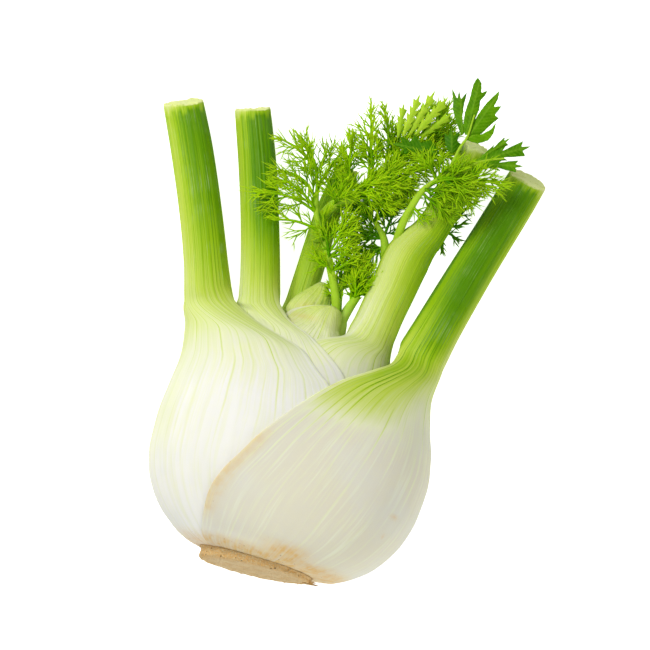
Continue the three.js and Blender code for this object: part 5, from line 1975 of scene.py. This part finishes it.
FRONDS = [
    Frond(
        name="frond_left",
        slot=Slot.FROND,
        finish=GREEN,
        stems=(
            Stem((1.8, 1.0), (
                (1.5, 101.6, 3), (1.2, 107.4, 3.4), (-0.8, 112.8, 4), (-5.9, 122.6, 4.8),
                (-10.4, 130.4, 4.4), (-14.6, 137, 3), (-16.8, 141.5, 2), (-18.9, 149, 0.6),
            )),
        ),
        sprays=(
            Spray((-18.9, 148.5, 0.6), (-17.6, 157, 0.6), (-13.2, 169, -1), -20, 5, 8),
            Spray((-18.7, 147.5, 0.8), (-22, 158, 3), (-31, 168, 4.5), 15, 6, 10),
            Spray((-18, 145, 1.2), (-27, 152.4, 4), (-37, 151.5, 6.4), -15, 6, 9.5),
            Spray((-16.6, 140.9, 2.2), (-27, 143.5, 5.4), (-41, 141, 7.5), 20, 6, 9),
            Spray((-12.4, 133.6, 3.8), (-22, 135, 5.6), (-32, 132.6, 6.8), -10, 5, 8),
            Spray((-21.4, 157, 2.8), (-30, 162.4, 5), (-40, 164.6, 6), 30, 4, 7),
            Spray((-10.4, 130.4, 4.4), (-7.6, 135.4, 6.6), (-2.4, 141, 8.4), 10, 4, 8),
            Spray((-5.4, 121.7, 4.8), (-9, 122.4, 6.4), (-13.6, 126.4, 7.8), -20, 3, 6),
            Spray((-7.3, 125, 4.7), (-3.6, 129.2, 6.4), (0.4, 134, 7.4), 20, 4, 7),
        ),
        front=(
            Spray((-6.4, 123.4, 5), (-8.6, 129, 7.4), (-12.4, 135, 8.4), 15, 4, 6.5),
            Spray((-8, 126, 5), (-5.6, 132.6, 7.6), (-4.4, 140.6, 8.6), -15, 4, 7),
            Spray((-10, 129.6, 4.8), (-12.6, 135.4, 7), (-12.4, 143, 8), 20, 4, 6.5),
            Spray((-3, 117.4, 4.4), (-5.6, 120.6, 6.6), (-10, 123.6, 7.4), -20, 3, 5.5),
            Spray((-4.6, 120, 4.6), (-2, 125, 7), (-0.6, 131.6, 7.8), 15, 3, 6),
        ),
        habit=Habit(density=1.4, spacing=(1.35, 2.3), radii=(0.32, 0.26, 0.24), curl=0.24),
        seed=1,
        twins=0.3,
    ),
    Frond(
        name="frond_crown",
        slot=Slot.FROND,
        finish=GREEN,
        stems=(
            Stem((2.6, 1.0), (
                (-13.8, 133, -9), (-14.4, 139, -3.4), (-10.4, 146.6, 1), (-4.8, 151, 2), (-0.6, 158.4, 1.4),
                (4, 165.4, 0.4), (9.6, 173.1, -0.4), (16, 180, -1.5),
            )),
        ),
        sprays=(
            Spray((15.6, 179.6, -1.4), (18.5, 187, -2), (20, 197.6, -3), 10, 5, 8),
            Spray((11.8, 175.6, -0.8), (12.6, 184, 0.4), (13.4, 194, 0.6), -25, 5, 8),
            Spray((4, 165.4, 0.4), (2.6, 176, 2), (-3, 188, 3), 15, 6, 7.5),
            Spray((-0.6, 158.4, 1.4), (-3.6, 172, 4), (-8, 187, 5.4), -15, 6, 8),
            Spray((-4.8, 151, 2), (-9.4, 162, 5), (-11.4, 175, 6.6), 20, 6, 8),
            Spray((9.6, 173.1, -0.4), (18, 176.4, 3), (28, 178, 5), -10, 5, 8),
            Spray((15.6, 179.6, -1.4), (20.6, 182, 0), (26.4, 186, 2), 25, 4, 6.5),
            Spray((4, 165.4, 0.4), (11, 167, 3), (20, 170, 5), 20, 5, 9),
            Spray((-0.6, 158.4, 1.4), (7, 161, 4), (18, 159.5, 5), -25, 6, 9),
            Spray((-4.8, 151, 2), (3, 152.5, 5), (13, 153.6, 6), 10, 5, 8),
            Spray((-10.4, 146.6, 1), (-12.4, 153, 3), (-14, 161, 4), -10, 4, 6),
            Spray((4, 165.4, 0.4), (7, 174, -2), (5.4, 182, -3), -30, 5, 8),
        ),
        front=(
            Spray((-12, 144.6, 1.4), (-9.4, 149, 5), (-5, 154.6, 8), 20, 4, 7),
            Spray((-7, 149, 3), (-3, 154.6, 7), (3, 162, 8.6), -20, 4, 7.5),
            Spray((-2, 155.6, 3), (4, 160, 7), (9.6, 168, 8.4), 15, 4, 8),
            Spray((1, 161, 2.4), (-1.6, 167, 6), (-5.4, 175.6, 8), -15, 4, 7),
            Spray((5, 167, 2), (9, 173, 6), (12.6, 181, 7), -10, 4, 8),
            Spray((-3.8, 152.6, 3), (3.6, 153, 6.6), (11, 150, 8), 20, 4, 7.5),
            Spray((9.6, 173.1, 1), (16, 174, 6), (23, 173, 8), 10, 4, 7),
        ),
        habit=BUSHY,
        seed=2,
        twins=0.15,
    ),
    Frond(
        name="frond_fork",
        slot=Slot.FROND,
        finish=FORK_GREEN,
        stems=(
            Stem((1.8, 0.9), (
                (17, 135, 4), (16.9, 144.8, 7.6), (18.6, 153.5, 9.6), (21, 160.5, 11), (25.2, 166, 11.8),
            )),
            Stem((0.8, 0.3), (
                (25.2, 166, 11.8), (28.4, 172, 11.6), (30, 180.4, 11.4), (31.6, 186, 11.2),
                (31.8, 195, 10.9),
            )),
            Stem((0.9, 0.4), (
                (27.8, 171, 11.6), (33.4, 171.4, 11.6), (37, 176, 8.4), (41, 179.4, 6.6), (48, 182.6, 6.2),
            )),
        ),
        sprays=(
            Spray((25.2, 166, 11.8), (36, 169.5, 12.4), (49, 172.4, 9.6), 10, 6, 9),
            Spray((24.6, 165.2, 11.7), (26.6, 169.4, 12.4), (29.4, 173, 11.8), -15, 4, 6),
            Spray((21, 160.5, 11), (30, 163, 12.5), (42.6, 164.4, 11), -10, 6, 8),
            Spray((20.6, 159.4, 10.8), (27, 156, 12.6), (34.4, 152.4, 11.4), 10, 4, 7),
            Spray((18.6, 153.5, 9.6), (21.5, 151.4, 11), (26, 149.4, 11.6), -10, 3, 5),
            Spray((24.6, 165.2, 11.7), (20, 170.4, 12.4), (14.6, 172.4, 12), 10, 4, 7),
        ),
        front=(
            Spray((23, 163, 12), (30, 167, 14.4), (40, 168.4, 14.4), -20, 4, 7.5),
            Spray((25, 166, 12.2), (33, 165, 14.6), (41, 160, 13.4), 15, 4, 7.5),
            Spray((21.6, 161, 12), (25.6, 159.4, 14), (31, 160, 14), 20, 3, 7),
        ),
        habit=Habit(density=2.3, radii=(0.36, 0.3, 0.26)),
        seed=3,
        twins=0.1,
    ),
    Frond(
        name="frond_dark",
        slot=Slot.FROND_SHADED,
        finish=SHADED_GREEN,
        stems=(Stem((1.9, 0.9), ((14.4, 133, -2.6), (11.6, 140, -4), (6.6, 145.4, -5))),),
        sprays=(
            Spray((6.6, 145.4, -5), (0, 147.5, -5), (-7, 151, -4.6), -10, 5, 7.5),
            Spray((11.6, 140, -4), (4.5, 140.4, -5.6), (-4.4, 139.5, -6.4), 15, 5, 8),
            Spray((11.6, 140, -4), (12.5, 150, -6.4), (15.4, 161.6, -8), -15, 6, 8),
            Spray((6.6, 145.4, -5), (6.6, 155, -7.6), (8, 165.4, -8.6), 15, 5, 8),
            Spray((12.9, 136.7, -3.3), (9.4, 134.8, -5), (5, 132.4, -6), -10, 4, 6),
        ),
        habit=BUSHY,
        seed=4,
        twins=0.5,
    ),
    Frond(
        name="frond_behind",
        slot=Slot.FROND_SHADED,
        finish=SHADED_GREEN,
        stems=(Stem((1.2, 0.7), ((28, 147, -5), (33, 150, -9.4), (38, 158, -9.4))),),
        sprays=(
            Spray((33, 150, -9.4), (36, 150.2, -9.8), (40, 148.2, -9), 10, 3, 5),
            Spray((37.6, 157.4, -9.4), (39.4, 161.4, -9.4), (42.6, 165.4, -9), -15, 4, 5),
            Spray((35, 153.2, -9.4), (37.4, 153.6, -9.6), (40.4, 156, -9), 20, 3, 4),
            Spray((31.4, 149, -8), (34, 146.4, -8.8), (35.2, 142, -8.6), -10, 3, 4),
        ),
        seed=5,
    ),
    Frond(
        name="frond_heart",
        slot=Slot.FROND,
        finish=GREEN,
        stems=(
            Stem((2.7, 1.5), (
                (5.6, 96, -1.4), (5.3, 101, -1), (5.2, 104, -0.4), (6.8, 110, 1), (8.4, 114.4, 1.8),
            ), 1.2),
            Stem((1.4, 0.8), ((4.4, 98, -1.2), (3.2, 105, -0.8), (1.6, 113, -0.6), (1, 121, 0.4)), 0.6),
        ),
        sprays=(
            Spray((8, 113.8, 1.6), (7.4, 121, 3), (8.8, 130.6, 4.6), 15, 5, 5),
            Spray((7.4, 112, 1.3), (5.8, 120, 0.4), (6.4, 131, -1), -15, 5, 5.5),
            Spray((1, 120.6, 0.4), (1.4, 124.6, -0.4), (3, 129.4, -0.8), 15, 3, 6),
            Spray((1.6, 113, -0.6), (-0.2, 119, -0.8), (-1, 125.6, -1), -20, 4, 5.5),
            Spray((6.8, 110, 1), (5.2, 116, 3), (4.4, 122, 4.4), -10, 3, 5.5),
        ),
        front=(
            Spray((8.4, 114, 2), (11, 119, 4.6), (14, 126.6, 6), -15, 3, 6),
            Spray((7.4, 112, 1.6), (8.4, 117, 5), (7, 124.6, 6.6), 15, 3, 6),
            Spray((1.2, 118, 0.6), (3.6, 122.6, 3), (7.4, 130, 4.6), 15, 3, 6),
            Spray((2.4, 109, 0.4), (0, 113, 2.4), (-3.6, 118, 3.6), -15, 3, 5),
        ),
        habit=BUSHY,
        seed=6,
        twins=0.7,
    ),
]

FORK_LEAFLETS = Leaflets(
    name="fork_leaflets",
    slot=Slot.FROND,
    finish=LeafletFinish("leaflet_blade"),
    leaflets=(
        Leaflet(
            (
                (31, 184.6), (29.2, 188), (28.4, 193.4), (28.6, 199.8), (28.4, 205.5), (29.3, 208.4),
                (31.4, 206.6), (32.4, 203), (34.4, 204.6), (34, 202.2), (32.9, 199.8), (33.4, 196),
                (32.8, 191), (32.2, 186),
            ),
            11, -0.1, ((31.4, 185), (30.4, 208)),
        ),
        Leaflet(
            (
                (29.6, 184.2), (26.4, 188.5), (23.6, 193.4), (22.6, 197), (20.9, 201.6), (23.9, 198.2),
                (23.8, 201.4), (25.4, 198.4), (26.9, 201.8), (27.2, 196.3), (28, 191.2), (30.4, 185.6),
            ),
            10.4, -0.16, ((30, 184.6), (24.4, 201)),
        ),
        Leaflet(
            (
                (31.8, 184.6), (32.9, 191.8), (34.2, 196.2), (35.6, 199.8), (38.8, 205.6), (39.3, 202.4),
                (38.7, 199), (41.4, 200), (40, 196), (41.7, 195.2), (40, 192.6), (38.6, 190.2),
                (37.1, 187.4), (34.4, 184.8),
            ),
            10.2, -0.05, ((32.6, 184.8), (38.9, 204)),
        ),
        Leaflet(
            (
                (31.8, 183), (33.6, 185.4), (37, 186.8), (40, 189.8), (41.2, 192.8), (41.4, 188.6),
                (40.2, 185.4), (36.6, 183),
            ),
            10.6, 0.02, ((32, 183.4), (41, 192)),
        ),
        Leaflet.lance((38.6, 177), (57, 188.6), 3, 2, 6.2),
        Leaflet.lance((38.2, 175.6), (56.4, 180), 2.4, 2, 6.8),
        Leaflet.lance((39, 177.6), (48.4, 189.6), 1.7, 2, 5.4),
    ),
    shift=(-0.4, 1.6),
)

CROWN_BLADES = Leaflets(
    name="crown_blades",
    slot=Slot.FROND,
    finish=LeafletFinish("young_blade", deep="9ccc14", full="d2ee48"),
    leaflets=(
        Leaflet.lance((5.6, 178), (4, 192), 1.8, 3, 7.6),
        Leaflet.lance((7.4, 179), (9, 197), 2.1, 4, 9.6),
        Leaflet.lance((9.6, 180), (14.4, 200.4), 2.2, 4, 8.6),
        Leaflet.lance((11.8, 181), (20, 199), 2.2, 4, 9.8),
        Leaflet.lance((14, 181), (23.4, 193.6), 1.9, 3, 8),
    ),
)

# Painted shade: leaflets in shade wear a darker copy of the leaflet green.
SHADY_BLADES = Leaflets(
    name="shady_blades",
    slot=Slot.FROND,
    finish=LeafletFinish("shaded_blade", deep="2c6800", full="539a04"),
    leaflets=(
        Leaflet(
            (
                (22, 175), (17.6, 173.6), (14.6, 172), (12.8, 173.8), (9.8, 172.2), (8.6, 174.2),
                (3.6, 174.4), (7.8, 176.2), (6.2, 178.6), (10.8, 177.6), (11.6, 180.6), (15, 178.4),
                (18.2, 180.4), (22.4, 177),
            ),
            10.4, 0, ((22, 176), (4.4, 174.8)),
        ),
        Leaflet(
            (
                (26.6, 178), (24.2, 180.6), (22.6, 185), (24.2, 184.2), (24.8, 188), (26.2, 184.8),
                (28.2, 187.6), (28.4, 183), (30.2, 182.6), (28.4, 178.6),
            ),
            9.4, 0, ((27.4, 178.4), (25, 187)),
        ),
    ),
)


# ---- the studio


@dataclass
class Studio:
    """A white floor, a large soft light from the upper left, a weak one from the right, and the camera."""

    middle: Pair = (8.96, -2.94)  # of the view, in millimetres
    width: float = 253.5  # of the view, in millimetres
    turn: float = math.radians(16.7)  # of the camera about its line of sight
    distance: float = 2.4
    level: float = 0.043  # height at which the view is that wide, in metres
    sensor: float = 36.0
    reach: float = 12.0  # of the floor to each side, in metres

    def floor(self, shaders: Shaders) -> None:
        """Adds the floor.

        Args:
            shaders: The shared shader groups.
        """
        mesh = bpy.data.meshes.new("floor")
        corners = [(x * self.reach, y * self.reach, 0) for x, y in ((-1, -1), (1, -1), (1, 1), (-1, 1))]
        mesh.from_pydata(corners, [], [(0, 1, 2, 3)])
        mesh.materials.append(FloorFinish("floor_white").build(shaders))
        piece = in_scene("floor", mesh)

    @staticmethod
    def light(name: str, place: Point, size: float, power: float, colour: Point) -> None:
        """Adds a square light that faces the bulb.

        Args:
            name: The light's name.
            place: Where it hangs, in metres.
            size: The length of its side, in metres.
            power: Its power in watts.
            colour: Its colour.
        """
        lamp = bpy.data.lights.new(name, "AREA")
        lamp.shape = "SQUARE"
        lamp.size, lamp.energy, lamp.color = size, power, colour
        holder = in_scene(name, lamp)
        holder.location = place
        holder.rotation_euler = (-Vector(place)).to_track_quat("-Z", "Y").to_euler()
        holder.visible_camera = False

    @staticmethod
    def sky() -> None:
        """Makes the surroundings white to the camera and softly lit."""
        world = bpy.data.worlds.new("studio")
        bpy.context.scene.world = world
        world.use_nodes = True
        world.node_tree.nodes.clear()
        wire = Wiring(world.node_tree)
        seen = wire.add("ShaderNodeLightPath").outputs["Is Camera Ray"]
        inputs = {"Color": (1.0, 1.0, 1.0, 1.0), "Strength": wire.between(seen, 0.32, 1.0)}
        back = wire.add("ShaderNodeBackground", inputs).outputs[0]
        wire.add("ShaderNodeOutputWorld", {"Surface": back})

    def camera(self) -> None:
        """Adds the camera, which looks straight down through a long lens."""
        lens = bpy.data.cameras.new("camera")
        lens.sensor_width = self.sensor
        lens.lens = self.sensor * (self.distance - self.level) / (self.width * MM)
        lens.clip_start, lens.clip_end = 0.1, 100.0
        holder = in_scene("camera", lens)
        holder.location = (self.middle[0] * MM, self.middle[1] * MM, self.distance)
        holder.rotation_euler = (0.0, 0.0, self.turn)
        bpy.context.scene.camera = holder

    def build(self, shaders: Shaders) -> None:
        """Sets up the whole studio.

        Args:
            shaders: The shared shader groups.
        """
        self.floor(shaders)
        self.light("key", (-0.8, 0.45, 1.05), 0.6, 12.0, (1.0, 0.99, 0.97))
        self.light("fill", (0.8, -0.9, 0.75), 0.9, 6.5, (1.0, 1.0, 0.98))
        self.sky()
        self.camera()
        bpy.context.scene.view_settings.view_transform = "Standard"


# ---- the whole bulb


def main() -> None:
    """Builds every piece, the studio and the camera."""
    logging.basicConfig(level=logging.INFO, format="%(name)s: %(message)s")
    growth, shaders = Growth(), Shaders()
    plate = RootPlate(RootFinish("cut_root"))
    root = plate.build(shaders)
    total = kept(root, Slot.ROOT, "root_plate")
    total += kept(plate.scraps(growth, root.data.materials[0]), Slot.ROOT, "root_plate")
    total += kept(Hood(NEST, HEART_FINISH).build(growth, shaders), Slot.HEART, "heart_leaf_back")
    for index, leaf in enumerate(LEAVES):
        total += kept(LeafBuilder(NEST, index).build(growth, shaders), leaf.slot, leaf.name)
    for frond in FRONDS:
        total += sum(kept(piece, frond.slot, frond.name) for piece in frond.build(growth, shaders))
    tufts = ((FORK_LEAFLETS, "frond_fork"), (CROWN_BLADES, "frond_crown"), (SHADY_BLADES, "frond_crown"))
    for tuft, node in tufts:
        total += kept(tuft.build(shaders), tuft.slot, node)
    log.info("%d triangles in all", total)
    Studio().build(shaders)
    log.info("studio ready")


if __name__ == "__main__":
    main()
